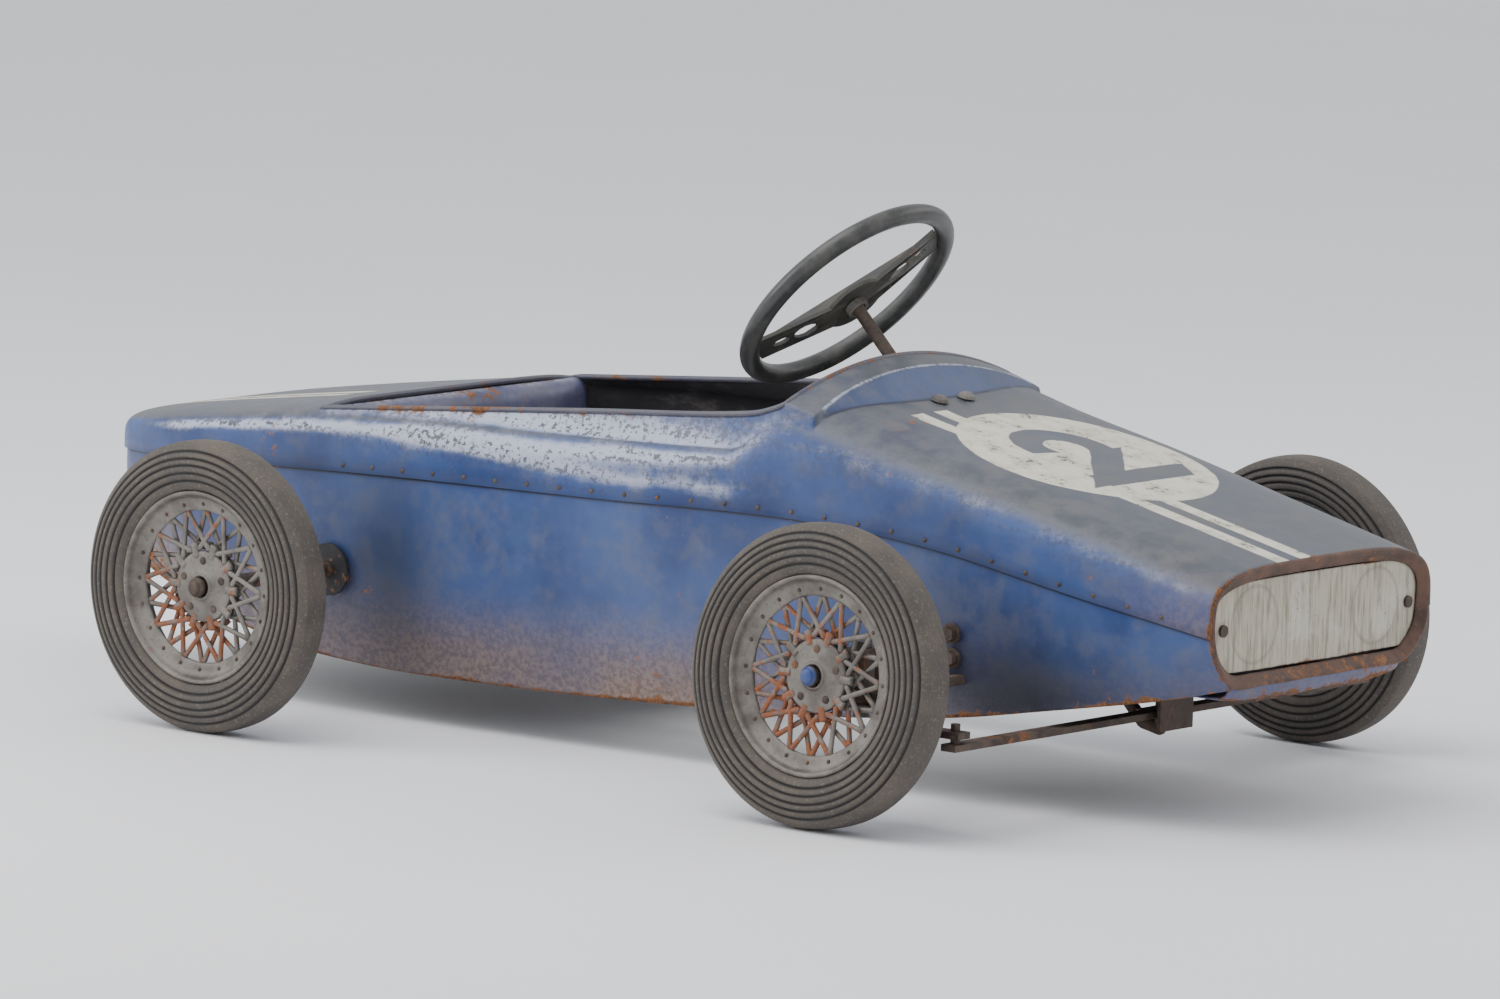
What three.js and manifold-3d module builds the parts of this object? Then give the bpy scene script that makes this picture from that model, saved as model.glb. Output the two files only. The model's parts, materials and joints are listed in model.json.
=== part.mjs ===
// A child's pedal racing car of the 1950s and 60s: a pressed steel body on two
// axles, steered at the front and driven by a cranked axle at the back.
// Millimetres. +X is forward, +Y is the car's left, +Z is up. The origin is on
// the ground under the middle of the car.
import * as THREE from 'three';
import { mergeVertices } from 'three/addons/utils/BufferGeometryUtils.js';
import Module from 'manifold-3d';

const wasm = await Module();
wasm.setup();

// ---- driving dimensions -------------------------------------------------
const LENGTH = 1114;              // nose lip to tail
const WHEEL_RADIUS = 110;
const WHEELBASE = 579;
const FRONT_TRACK = 589;          // between the front wheels' middle planes
const REAR_TRACK = 608;
const FRONT_AXLE_X = 329;
const CAMBER_DEG = 4.3;           // the front wheels lean in at the top
const STEEL = 1.6;                // sheet of the body
const GAP = 0.3;                  // air between two pieces that touch
const AXLE_DIAMETER = 12;
const AXLE_END = 9.2;             // of each axle, outside its wheel's middle plane
const KINGPIN_Y = 245;
const BEAM_Z = 98;
const KNUCKLE_Z = 104;            // middle of the kingpins
const ARM_LENGTH = 86;            // steering arms, kingpin to tie rod
const TIE_ROD_Z = 64;
const COLUMN_LEAN_DEG = 45;       // from the vertical
const RIM_LEAN_DEG = 48.1;        // the steering wheel sits a little out of square
const STEERING_WHEEL_X = 111;     // middle of the rim
const STEERING_WHEEL_Z = 343;
const STEERING_RIM_RADIUS = 88;
const STEERING_RIM_TUBE = 15;
const SPOKE_TURN_DEG = -44;       // how the steering wheel sits on its column
const CRANK_RADIUS = 40;          // throws of the rear axle
const CRANK_Y = 66;
const PEDAL_PIVOT_X = 209;
const PEDAL_PIVOT_Z = 215;

const NOSE_X = LENGTH / 2;
const TAIL_X = -LENGTH / 2;
const REAR_AXLE_X = FRONT_AXLE_X - WHEELBASE;
const COCKPIT_BACK_X = -276;
const COCKPIT_FRONT_X = 164;
const LEAN = THREE.MathUtils.degToRad(COLUMN_LEAN_DEG);
const RIM_LEAN = THREE.MathUtils.degToRad(RIM_LEAN_DEG);
const CAMBER = THREE.MathUtils.degToRad(CAMBER_DEG);
const SIDES = [['right', -1], ['left', 1]];

// ---- finishes -----------------------------------------------------------
const paint = (color, roughness, metalness) => () => new THREE.MeshStandardMaterial({ color, roughness, metalness });
const bluePaint = paint(0x3f5f9e, 0.5, 0.2);
const creamPaint = paint(0xc9c3ae, 0.7, 0.0);
const bareSteel = paint(0x6b5f55, 0.6, 0.7);
const rustySteel = paint(0x6a4632, 0.8, 0.4);
const dullZinc = paint(0x8c8780, 0.5, 0.7);
const blackRubber = paint(0x4b443d, 0.85, 0.0);
const darkPlastic = paint(0x33363a, 0.4, 0.0);
const darkPaint = paint(0x3a3c34, 0.6, 0.4);
const bluePlastic = paint(0x2a4a8c, 0.5, 0.0);

const car = new THREE.Group();

function place(name, geometry, material, parent = car) {
  const mesh = new THREE.Mesh(geometry, material());
  mesh.name = name;
  parent.add(mesh);
  return mesh;
}

// ---- solids -------------------------------------------------------------
function toSolid(geometry) {
  const bare = geometry.clone();
  bare.deleteAttribute('normal');
  bare.deleteAttribute('uv');
  const merged = mergeVertices(bare, 1e-4);
  return new wasm.Manifold(new wasm.Mesh({
    numProp: 3,
    vertProperties: new Float32Array(merged.attributes.position.array),
    triVerts: new Uint32Array(merged.index.array),
  }));
}

function toGeometry(solid) {
  const mesh = solid.getMesh();
  const geometry = new THREE.BufferGeometry();
  geometry.setAttribute('position', new THREE.BufferAttribute(mesh.vertProperties, 3));
  geometry.setIndex(new THREE.BufferAttribute(mesh.triVerts, 1));
  geometry.computeVertexNormals();
  return geometry;
}

function join(...geometries) {
  return toGeometry(geometries.map(toSolid).reduce((sum, solid) => sum.add(solid)));
}

function cut(geometry, ...tools) {
  return toGeometry(tools.map(toSolid).reduce((rest, solid) => rest.subtract(solid), toSolid(geometry)));
}

function block(sizeX, sizeY, sizeZ, x, y, z) {
  return new THREE.BoxGeometry(sizeX, sizeY, sizeZ).translate(x, y, z);
}

// A round bar between two points.
function bar(from, to, diameter, sides = 16) {
  const along = new THREE.Vector3().subVectors(to, from);
  const rod = new THREE.CylinderGeometry(diameter / 2, diameter / 2, along.length(), sides);
  const turn = new THREE.Quaternion().setFromUnitVectors(new THREE.Vector3(0, 1, 0), along.clone().normalize());
  const middle = new THREE.Vector3().addVectors(from, to).multiplyScalar(0.5);
  return rod.applyQuaternion(turn).translate(middle.x, middle.y, middle.z);
}

const at = (x, y, z) => new THREE.Vector3(x, y, z);

// A ring with the given closed outline of (radius, offset) points, around Y.
function ringAroundY(outline, sides = 32) {
  const points = outline.map(([radius, offset]) => new THREE.Vector2(radius, offset));
  points.push(points[0].clone());
  return new THREE.LatheGeometry(points, sides);
}

// A smooth value along X through a few stations, without overshoot.
function smoothThrough(stations) {
  const sorted = [...stations].sort((a, b) => a[0] - b[0]);
  const steps = sorted.slice(1).map((p, i) => (p[1] - sorted[i][1]) / (p[0] - sorted[i][0]));
  const slopes = sorted.map((p, i) => {
    if (i === 0) return steps[0];
    if (i === steps.length) return steps[i - 1];
    if (steps[i - 1] * steps[i] <= 0) return 0;
    return 2 * steps[i - 1] * steps[i] / (steps[i - 1] + steps[i]);
  });
  return (x) => {
    const clamped = Math.min(Math.max(x, sorted[0][0]), sorted[sorted.length - 1][0]);
    let i = steps.length - 1;
    while (i > 0 && sorted[i][0] > clamped) i -= 1;
    const width = sorted[i + 1][0] - sorted[i][0];
    const t = (clamped - sorted[i][0]) / width;
    const rise = sorted[i + 1][1] - sorted[i][1];
    const a = slopes[i] * width - rise;
    const b = rise - slopes[i + 1] * width;
    return sorted[i][1] + t * rise + t * (1 - t) * (a * (1 - t) + b * t);
  };
}

// A closed sheet from two matching grids of points, rows running backwards and
// columns from right to left as seen from outside. Cells that keep() turns down
// are open, and every free edge of the sheet is walled.
function sheet(outer, inner, keep = () => true) {
  const corners = [];
  const triangle = (a, b, c) => {
    if (a.equals(b) || b.equals(c) || a.equals(c)) return;
    corners.push(a.x, a.y, a.z, b.x, b.y, b.z, c.x, c.y, c.z);
  };
  const quad = (a, b, c, d) => {
    triangle(a, c, b);
    triangle(a, d, c);
  };
  const rows = outer.length - 1;
  const columns = outer[0].length - 1;
  const kept = (i, j) => i >= 0 && j >= 0 && i < rows && j < columns && keep(i, j);
  const meets = (p, q) => p.distanceTo(q) < 1e-6;
  for (let i = 0; i < rows; i += 1) {
    for (let j = 0; j < columns; j += 1) {
      if (!kept(i, j)) continue;
      quad(outer[i][j], outer[i + 1][j], outer[i + 1][j + 1], outer[i][j + 1]);
      quad(inner[i][j + 1], inner[i + 1][j + 1], inner[i + 1][j], inner[i][j]);
      if (!kept(i, j - 1)) quad(outer[i + 1][j], outer[i][j], inner[i][j], inner[i + 1][j]);
      if (!kept(i, j + 1)) quad(outer[i][j + 1], outer[i + 1][j + 1], inner[i + 1][j + 1], inner[i][j + 1]);
      if (!kept(i - 1, j)) quad(outer[i][j], outer[i][j + 1], inner[i][j + 1], inner[i][j]);
      const closes = i + 1 === rows && meets(outer[rows][j], outer[rows][columns - j])
        && meets(outer[rows][j + 1], outer[rows][columns - j - 1]);
      if (!kept(i + 1, j) && !closes) {
        quad(outer[i + 1][j + 1], outer[i + 1][j], inner[i + 1][j], inner[i + 1][j + 1]);
      }
    }
  }
  const geometry = new THREE.BufferGeometry();
  geometry.setAttribute('position', new THREE.Float32BufferAttribute(corners, 3));
  const merged = mergeVertices(geometry, 1e-4);
  merged.computeVertexNormals();
  return merged;
}

// ---- the body's lines ---------------------------------------------------
// Height of the top on the middle plane, as if the cockpit were not cut.
const crownHeight = smoothThrough([
  [NOSE_X, 195.5], [449, 221], [340, 246], [243, 266], [200, 277], [COCKPIT_FRONT_X, 284.5],
  [120, 253], [-21, 245], [-180, 239], [COCKPIT_BACK_X, 233.5], [-321, 228], [-371, 221.5],
  [-451, 210.5], [-490, 204.5], [-530, 196], [-549, 187], [TAIL_X, 174],
]);
// Half the width at the seam.
const halfWidth = smoothThrough([
  [NOSE_X, 135], [500, 137.5], [FRONT_AXLE_X, 144], [COCKPIT_FRONT_X, 152], [-21, 165],
  [-171, 170], [COCKPIT_BACK_X, 168], [-371, 158], [-451, 139], [-501, 116], [-531, 90],
  [-547, 64], [-555, 33], [TAIL_X, 0],
]);
const seamHeight = smoothThrough([
  [NOSE_X, 147], [509, 154.5], [449, 163.5], [392, 173], [319, 185], [254, 191.5],
  [COCKPIT_FRONT_X, 195], [9, 192], [-156, 189], [-321, 182.5], [-531, 169], [TAIL_X, 167],
]);
const lowerEdgeHeight = smoothThrough([
  [NOSE_X, 108], [503, 95], [413, 78.5], [323, 63], [200, 50], [46, 42], [-71, 39],
  [-180, 38.3], [-279, 43], [-371, 58], [-471, 82], [TAIL_X, 108],
]);
// The section's squareness: 2 is an ellipse, higher is boxier.
const squareness = smoothThrough([[NOSE_X, 4], [329, 4.5], [-21, 5], [COCKPIT_BACK_X, 6], [TAIL_X, 5]]);
// The cockpit's rim.
const rimHalfWidth = smoothThrough([[COCKPIT_FRONT_X, 138], [134, 136.5], [-21, 142], [COCKPIT_BACK_X, 152]]);
const rimHeight = smoothThrough([[COCKPIT_FRONT_X, 276], [134, 267], [-21, 253.3], [COCKPIT_BACK_X, 230.5]]);
// How far the cowl in front of the driver has faded into the bonnet.
const cowlFade = smoothThrough([[COCKPIT_FRONT_X, 1], [179, 0.78], [195, 0.2], [215, 0], [NOSE_X, 0]]);
const COWL_TOP = 303;
const COWL_ARCH = 1.39e-3;

// A point's plan position on the sheet, moved square to it by the inset: the
// half-width there and how far the point has moved along X.
function insetPlan(x, inset) {
  const step = 0.05;
  const ahead = Math.min(x + step, NOSE_X);
  const slope = (halfWidth(ahead) - halfWidth(ahead - step)) / step;
  const stretch = Math.hypot(1, slope);
  return { width: Math.max(halfWidth(x) - inset / stretch, 0), shift: inset * slope / stretch };
}

// Height of the plain section at half-width y.
function sectionHeight(x, y, inset = 0) {
  const width = Math.max(insetPlan(x, inset).width, 1e-3);
  const seam = seamHeight(x);
  const rise = crownHeight(x) - inset - seam;
  const n = squareness(x);
  return seam + rise * Math.pow(Math.max(1 - Math.pow(Math.min(Math.abs(y) / width, 1), n), 0), 1 / n);
}

// Height that the cowl adds over the bonnet.
function cowlRise(x, y) {
  const arch = COWL_TOP - COWL_ARCH * y * y;
  return Math.max(arch - sectionHeight(COCKPIT_FRONT_X, y), 0) * cowlFade(x);
}

const TOP_CELLS = 5;              // from the middle to the rim line, each side
const SHOULDER_CELLS = 6;         // from the rim line to the seam

// One section of the shell from the right seam over the top to the left seam.
function shellSection(x, inset) {
  const half = [];
  const { width, shift } = insetPlan(x, inset);
  const inCockpit = x > COCKPIT_BACK_X - 0.5 && x < COCKPIT_FRONT_X - 0.5;
  const rimY = Math.min(rimHalfWidth(x), width * 0.9);
  for (let k = 0; k <= TOP_CELLS; k += 1) {
    const y = rimY * k / TOP_CELLS;
    half.push([y, sectionHeight(x, y, inset) + (x > COCKPIT_FRONT_X - 0.5 ? cowlRise(x, y) : 0)]);
  }
  if (inCockpit && x > COCKPIT_BACK_X) half[TOP_CELLS][1] = rimHeight(x) - inset;
  const n = squareness(x);
  const startAngle = width > 0 ? Math.asin(Math.pow(rimY / width, n / 2)) : 0;
  for (let k = 1; k <= SHOULDER_CELLS; k += 1) {
    const angle = startAngle + (Math.PI / 2 - startAngle) * Math.pow(k / SHOULDER_CELLS, 1.3);
    const y = k === SHOULDER_CELLS ? width : width * Math.pow(Math.sin(angle), 2 / n);
    const z = k === SHOULDER_CELLS ? seamHeight(x) : sectionHeight(x, y, inset);
    half.push([y, z]);
  }
  const right = half.slice(1).reverse().map(([y, z]) => at(x + shift, -y, z));
  return [...right, ...half.map(([y, z]) => at(x + shift, y, z))];
}

const SHELL_STATIONS = [
  NOSE_X, 520, 470, 410, 350, 290, 250, 222, 210, 200, 190, 179, COCKPIT_FRONT_X,
  150, 134, 100, 50, 0, -60, -120, -180, -235, COCKPIT_BACK_X,
  -320, -370, -420, -465, -500, -525, -542, -551, -555, TAIL_X,
];

// The bonnet falls towards the nose, and its bolts stand square to it.
const BONNET_SLOPE = 0.22;
function bonnetHole(x, y, diameter) {
  const square = at(Math.sin(BONNET_SLOPE), 0, Math.cos(BONNET_SLOPE));
  const skin = at(x, y, sectionHeight(x, y));
  return bar(skin.clone().addScaledVector(square, -20), skin.clone().addScaledVector(square, 20), diameter, 8);
}

// The steering column's line: straight from the steering wheel's boss to an elbow
// below the tie rod, where it is cranked forward and then up through the rod.
const TIE_ROD_X = FRONT_AXLE_X + ARM_LENGTH;
const columnDown = at(Math.sin(LEAN), 0, -Math.cos(LEAN));
const PLATE_DROP = 9;             // of the steering wheel's boss below its rim
const rimDown = at(Math.sin(RIM_LEAN), 0, -Math.cos(RIM_LEAN));
const hub = at(STEERING_WHEEL_X, 0, STEERING_WHEEL_Z).addScaledVector(rimDown, PLATE_DROP);
const ROD = 10;
const CRANK_REACH = 15.5;         // from the elbow forward to the pin
const crankTurn = hub.clone().addScaledVector(columnDown, (TIE_ROD_X - CRANK_REACH - hub.x) / columnDown.x);
const crankBend = at(TIE_ROD_X, 0, TIE_ROD_Z - 12);

const BONNET_BOLT_X = 214;
const BONNET_BOLT_Y = 16;
function upperShell() {
  const outer = SHELL_STATIONS.map((x) => shellSection(x, 0));
  const inner = SHELL_STATIONS.map((x) => shellSection(x, STEEL));
  const first = SHELL_STATIONS.indexOf(COCKPIT_FRONT_X);
  const last = SHELL_STATIONS.indexOf(COCKPIT_BACK_X);
  const middle = TOP_CELLS + SHOULDER_CELLS;
  const keep = (i, j) => !(i >= first && i < last && j >= middle - TOP_CELLS && j < middle + TOP_CELLS);
  const whole = sheet(outer, inner, keep);
  const boltHoles = SIDES.map(([, side]) => bonnetHole(BONNET_BOLT_X, side * BONNET_BOLT_Y, 7));
  return cut(whole, bar(hub, crankTurn, ROD + 4, 16), ...boltHoles);
}
place('upper_shell', upperShell(), bluePaint);

// Domed bolts that hold the column's bracket under the bonnet.
function domedBolt(x, y) {
  const top = sectionHeight(x, y) + GAP;
  const profile = [[0, 4.5], [3.5, 3.8], [6, 2], [7, 0], [3, 0], [3, -12], [0, -12]];
  const bolt = new THREE.LatheGeometry(profile.map(([r, h]) => new THREE.Vector2(r, h)).reverse(), 12);
  return bolt.rotateX(Math.PI / 2).rotateY(BONNET_SLOPE).translate(x, y, top + 1);
}
for (const [name, side] of SIDES) {
  place(`bonnet_bolt_${name}`, domedBolt(BONNET_BOLT_X, side * BONNET_BOLT_Y), bareSteel);
}

// ---- side panels --------------------------------------------------------
// Each tucks up behind the shell's lower edge and draws in towards its foot.
const PANEL_OVERLAP = 9;
const tuckIn = smoothThrough([[NOSE_X, 26], [503, 16], [413, 9], [323, 7], [-21, 14], [-279, 12], [TAIL_X, 6]]);
const PANEL_ROWS = 5;
const SEAM_GAP = 0.7;             // between the shell and the panels behind it
const MIDDLE_GAP = 0.2;           // between the panels where they meet at the tail

function panelPoint(x, row, side, depth) {
  const top = seamHeight(x) + Math.min(PANEL_OVERLAP, 0.2 * (crownHeight(x) - seamHeight(x)));
  const bottom = lowerEdgeHeight(x);
  const z = top + (bottom - top) * row / PANEL_ROWS;
  const down = Math.max((seamHeight(x) - z) / (seamHeight(x) - bottom), 0);
  const { width, shift } = insetPlan(x, STEEL + SEAM_GAP + depth);
  const tuck = Math.min(tuckIn(x), width / 2) * Math.pow(down, 2.2);
  return at(x + shift, side * Math.max(width - tuck, MIDDLE_GAP), z);
}

function panelY(x, z) {
  const down = Math.max((seamHeight(x) - z) / (seamHeight(x) - lowerEdgeHeight(x)), 0);
  return halfWidth(x) - STEEL - SEAM_GAP - tuckIn(x) * Math.pow(down, 2.2);
}

const AXLE_BOLT_HEIGHTS = [['upper', 126], ['lower', 108]];
const BOLT_HOLE = 7;
const BUSH_DIAMETER = 24;

function sidePanel(side) {
  const rows = [...Array(PANEL_ROWS + 1).keys()];
  const face = (depth) => SHELL_STATIONS.map((x) => rows.map((row) => panelPoint(x, row, side, depth)));
  const plain = side > 0 ? sheet(face(0), face(STEEL)) : sheet(face(STEEL), face(0));
  const through = (x, z, diameter) => bar(at(x, side * 100, z), at(x, side * 200, z), diameter, 12);
  const holes = AXLE_BOLT_HEIGHTS.map(([, z]) => through(FRONT_AXLE_X, z, BOLT_HOLE));
  return cut(plain, ...holes, through(REAR_AXLE_X, WHEEL_RADIUS, BUSH_DIAMETER + 1),
    block(28, 100, 14, FRONT_AXLE_X, side * 150, BEAM_Z - 5));
}
for (const [name, side] of SIDES) place(`side_panel_${name}`, sidePanel(side), bluePaint);

// ---- nose ---------------------------------------------------------------
// The valance closes the mouth below the grille and ties the panels together.
const GRILLE_X = NOSE_X - 6;
function roundedRectangle(halfY, bottom, top, topRadius, bottomRadius) {
  const shape = new THREE.Shape();
  shape.moveTo(-halfY + bottomRadius, bottom);
  shape.lineTo(halfY - bottomRadius, bottom);
  shape.absarc(halfY - bottomRadius, bottom + bottomRadius, bottomRadius, -Math.PI / 2, 0, false);
  shape.absarc(halfY - topRadius, top - topRadius, topRadius, 0, Math.PI / 2, false);
  shape.absarc(-halfY + topRadius, top - topRadius, topRadius, Math.PI / 2, Math.PI, false);
  shape.absarc(-halfY + bottomRadius, bottom + bottomRadius, bottomRadius, Math.PI, 1.5 * Math.PI, false);
  return shape;
}

// A flat plate in the YZ plane, from x back by its thickness.
function uprightPlate(shape, x, thickness, curveSegments = 6) {
  const plate = new THREE.ExtrudeGeometry(shape, { depth: thickness, bevelEnabled: false, curveSegments });
  const turn = new THREE.Matrix4().makeBasis(at(0, 1, 0), at(0, 0, 1), at(1, 0, 0));
  return plate.applyMatrix4(turn).translate(x - thickness, 0, 0);
}

function valance() {
  const half = 96;
  const profile = new THREE.Shape();
  profile.moveTo(NOSE_X - 2, 116);
  profile.lineTo(NOSE_X - 2, 101);
  profile.lineTo(NOSE_X - 8, 97);
  profile.lineTo(470, 97);
  profile.lineTo(470, 98.6);
  profile.lineTo(NOSE_X - 8.5, 98.6);
  profile.lineTo(NOSE_X - 3.6, 102);
  profile.lineTo(NOSE_X - 3.6, 116);
  profile.closePath();
  const strip = new THREE.ExtrudeGeometry(profile, { depth: 2 * half, bevelEnabled: false });
  return strip.rotateX(Math.PI / 2).translate(0, half, 0);
}
place('nose_valance', valance(), rustySteel);

const GRILLE_SCREW_Y = 113.5;
const GRILLE_SCREW_Z = 151;
function grillePlate() {
  const shape = roundedRectangle(126, 118.5, 184.5, 30, 26);
  const plate = uprightPlate(shape, GRILLE_X, 1.6);
  const holes = SIDES.map(([, side]) => bar(
    at(GRILLE_X - 6, side * GRILLE_SCREW_Y, GRILLE_SCREW_Z),
    at(GRILLE_X + 6, side * GRILLE_SCREW_Y, GRILLE_SCREW_Z), 4.6, 8));
  return cut(plate, ...holes);
}
place('grille_plate', grillePlate(), creamPaint);
for (const [name, side] of SIDES) {
  const screw = join(
    bar(at(GRILLE_X + GAP, side * GRILLE_SCREW_Y, GRILLE_SCREW_Z),
      at(GRILLE_X + 2.3, side * GRILLE_SCREW_Y, GRILLE_SCREW_Z), 9, 12),
    bar(at(GRILLE_X - 9, side * GRILLE_SCREW_Y, GRILLE_SCREW_Z),
      at(GRILLE_X + 1, side * GRILLE_SCREW_Y, GRILLE_SCREW_Z), 4, 8));
  place(`grille_screw_${name}`, screw, rustySteel);
}

// ---- seat ---------------------------------------------------------------
// One sheet: an upright back under the deck's front edge, and a flat pan that
// clears the cranked axle below it.
const SEAT_HALF_WIDTH = 149;
const SEAT_PAN_Z = 166;
function seat() {
  const back = COCKPIT_BACK_X + 14;
  const line = new THREE.Path();
  line.moveTo(COCKPIT_BACK_X + 1, 228.5);
  line.quadraticCurveTo(back, 227, back, 214);
  line.lineTo(back + 2, SEAT_PAN_Z + 16);
  line.quadraticCurveTo(back + 3, SEAT_PAN_Z, back + 20, SEAT_PAN_Z);
  line.lineTo(-70, SEAT_PAN_Z - 5);
  line.quadraticCurveTo(-58, SEAT_PAN_Z - 5, -55, SEAT_PAN_Z - 9);
  const points = line.getPoints(5);
  const tangentAt = (i) => points[Math.min(i + 1, points.length - 1)].clone().sub(points[Math.max(i - 1, 0)]);
  const face = (depth) => points.map((p, i) => {
    const t = tangentAt(i).normalize();
    const x = p.x + t.y * depth;
    const z = p.y - t.x * depth;
    return [at(x, -SEAT_HALF_WIDTH, z), at(x, SEAT_HALF_WIDTH, z)];
  });
  return sheet(face(STEEL), face(0));
}
place('seat', seat(), bluePaint);

// ---- front axle ---------------------------------------------------------
// A flat bar through slots in the side panels, with forks for the kingpins and
// upright lugs that the panels are bolted to.
function frontBeam() {
  const pieces = [block(20, 2 * KINGPIN_Y - 32, 7, FRONT_AXLE_X, 0, BEAM_Z - 5)];
  for (const [, side] of SIDES) {
    const lugY = panelY(FRONT_AXLE_X, 89) - STEEL - GAP - 1.6;
    pieces.push(block(24, 3, 46, FRONT_AXLE_X, side * lugY, 112));
    pieces.push(block(18, 4, 44, FRONT_AXLE_X, side * (KINGPIN_Y - 15), KNUCKLE_Z));
    for (const end of [-1, 1]) {
      pieces.push(block(18, 26, 4, FRONT_AXLE_X, side * (KINGPIN_Y - 4), KNUCKLE_Z + end * 20));
    }
  }
  const holes = [];
  for (const [, side] of SIDES) {
    holes.push(bar(at(FRONT_AXLE_X, side * KINGPIN_Y, 60), at(FRONT_AXLE_X, side * KINGPIN_Y, 150), 8.6, 16));
    for (const [, z] of AXLE_BOLT_HEIGHTS) {
      holes.push(bar(at(FRONT_AXLE_X, side * 100, z), at(FRONT_AXLE_X, side * 170, z), BOLT_HOLE, 12));
    }
  }
  return cut(join(...pieces), ...holes);
}
place('front_axle_beam', frontBeam(), rustySteel);

for (const [name, side] of SIDES) {
  for (const [level, z] of AXLE_BOLT_HEIGHTS) {
    const skin = panelY(FRONT_AXLE_X, z) + 0.8;
    const piece = join(
      bar(at(FRONT_AXLE_X, side * (skin - 12), z), at(FRONT_AXLE_X, side * (skin + 2), z), 6, 12),
      bar(at(FRONT_AXLE_X, side * skin, z), at(FRONT_AXLE_X, side * (skin + 2), z), 16, 16),
      bar(at(FRONT_AXLE_X, side * (skin + 1), z), at(FRONT_AXLE_X, side * (skin + 7), z), 11.5, 6));
    place(`axle_bolt_${name}_${level}`, piece, rustySteel);
  }
}

// Kingpins, with a head on top and a washer-like collar below the fork.
for (const [name, side] of SIDES) {
  const y = side * KINGPIN_Y;
  const pin = join(
    bar(at(FRONT_AXLE_X, y, KNUCKLE_Z - 28), at(FRONT_AXLE_X, y, KNUCKLE_Z + 24), 8, 16),
    bar(at(FRONT_AXLE_X, y, KNUCKLE_Z + 22.4), at(FRONT_AXLE_X, y, KNUCKLE_Z + 27), 13, 6),
    bar(at(FRONT_AXLE_X, y, KNUCKLE_Z - 28), at(FRONT_AXLE_X, y, KNUCKLE_Z - 22.4), 12, 12));
  place(`kingpin_${name}`, pin, bareSteel);
}

// ---- steering -----------------------------------------------------------
const ARM_Z = TIE_ROD_Z + 9;
const WHEEL_CENTRE_Y = FRONT_TRACK / 2;
const wheelCentreZ = WHEEL_RADIUS * Math.cos(CAMBER) + 9 * Math.sin(CAMBER) + 0.05;

// Stub axle: a barrel on the kingpin, the wheel's spindle and the steering arm.
function stubAxle(side) {
  const kingpin = at(FRONT_AXLE_X, side * KINGPIN_Y, KNUCKLE_Z);
  const centre = at(FRONT_AXLE_X, side * WHEEL_CENTRE_Y, wheelCentreZ);
  const outward = at(0, side * Math.cos(CAMBER), Math.sin(CAMBER));
  const innerEnd = centre.clone().addScaledVector(outward, -(WHEEL_CENTRE_Y - KINGPIN_Y) + 1);
  const outerEnd = centre.clone().addScaledVector(outward, AXLE_END);
  const y = side * KINGPIN_Y;
  const body = join(
    bar(at(FRONT_AXLE_X, y, KNUCKLE_Z - 17.5), at(FRONT_AXLE_X, y, KNUCKLE_Z + 17.5), 18, 16),
    bar(innerEnd, outerEnd, AXLE_DIAMETER, 16),
    bar(innerEnd.clone().addScaledVector(outward, 14), centre.clone().addScaledVector(outward, -19), 20, 16),
    block(22, 12, 6, FRONT_AXLE_X + 12, y, KNUCKLE_Z - 12),
    block(6, 12, KNUCKLE_Z - ARM_Z - 6, FRONT_AXLE_X + 22, y, (KNUCKLE_Z + ARM_Z) / 2 - 6.5),
    block(ARM_LENGTH - 19 + 8, 14, 5, FRONT_AXLE_X + 19 + (ARM_LENGTH - 19 + 8) / 2, y, ARM_Z));
  const pinHole = bar(at(TIE_ROD_X, y, ARM_Z - 10), at(TIE_ROD_X, y, ARM_Z + 10), 7.8, 12);
  return cut(body, bar(kingpin.clone().setZ(60), kingpin.clone().setZ(150), 8.6, 16), pinHole);
}
for (const [name, side] of SIDES) place(`stub_axle_${name}`, stubAxle(side), rustySteel);

// Tie rod: a flat bar with a pin at each end and a loop for the column's crank.
const LOOP_FRONT = 6;             // of the opening, ahead of the crank pin
const LOOP_BACK = 9;
const LOOP_WIDTH = 17;
const LOOP_WALL = 4;
function tieRod() {
  const reach = KINGPIN_Y + 8;
  const arm = reach - LOOP_WIDTH / 2 - 1;
  const middle = TIE_ROD_X + (LOOP_FRONT - LOOP_BACK) / 2;
  const opening = LOOP_FRONT + LOOP_BACK;
  const pieces = [block(opening + 2 * LOOP_WALL, LOOP_WIDTH + 2 * LOOP_WALL, 5, middle, 0, TIE_ROD_Z)];
  for (const [, side] of SIDES) {
    pieces.push(block(13, arm, 5, TIE_ROD_X, side * (reach - arm / 2), TIE_ROD_Z));
    pieces.push(bar(at(TIE_ROD_X, side * KINGPIN_Y, TIE_ROD_Z), at(TIE_ROD_X, side * KINGPIN_Y, ARM_Z + 8), 7, 12));
  }
  return cut(join(...pieces), block(opening, LOOP_WIDTH, 12, middle, 0, TIE_ROD_Z));
}
place('tie_rod', tieRod(), rustySteel);

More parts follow.
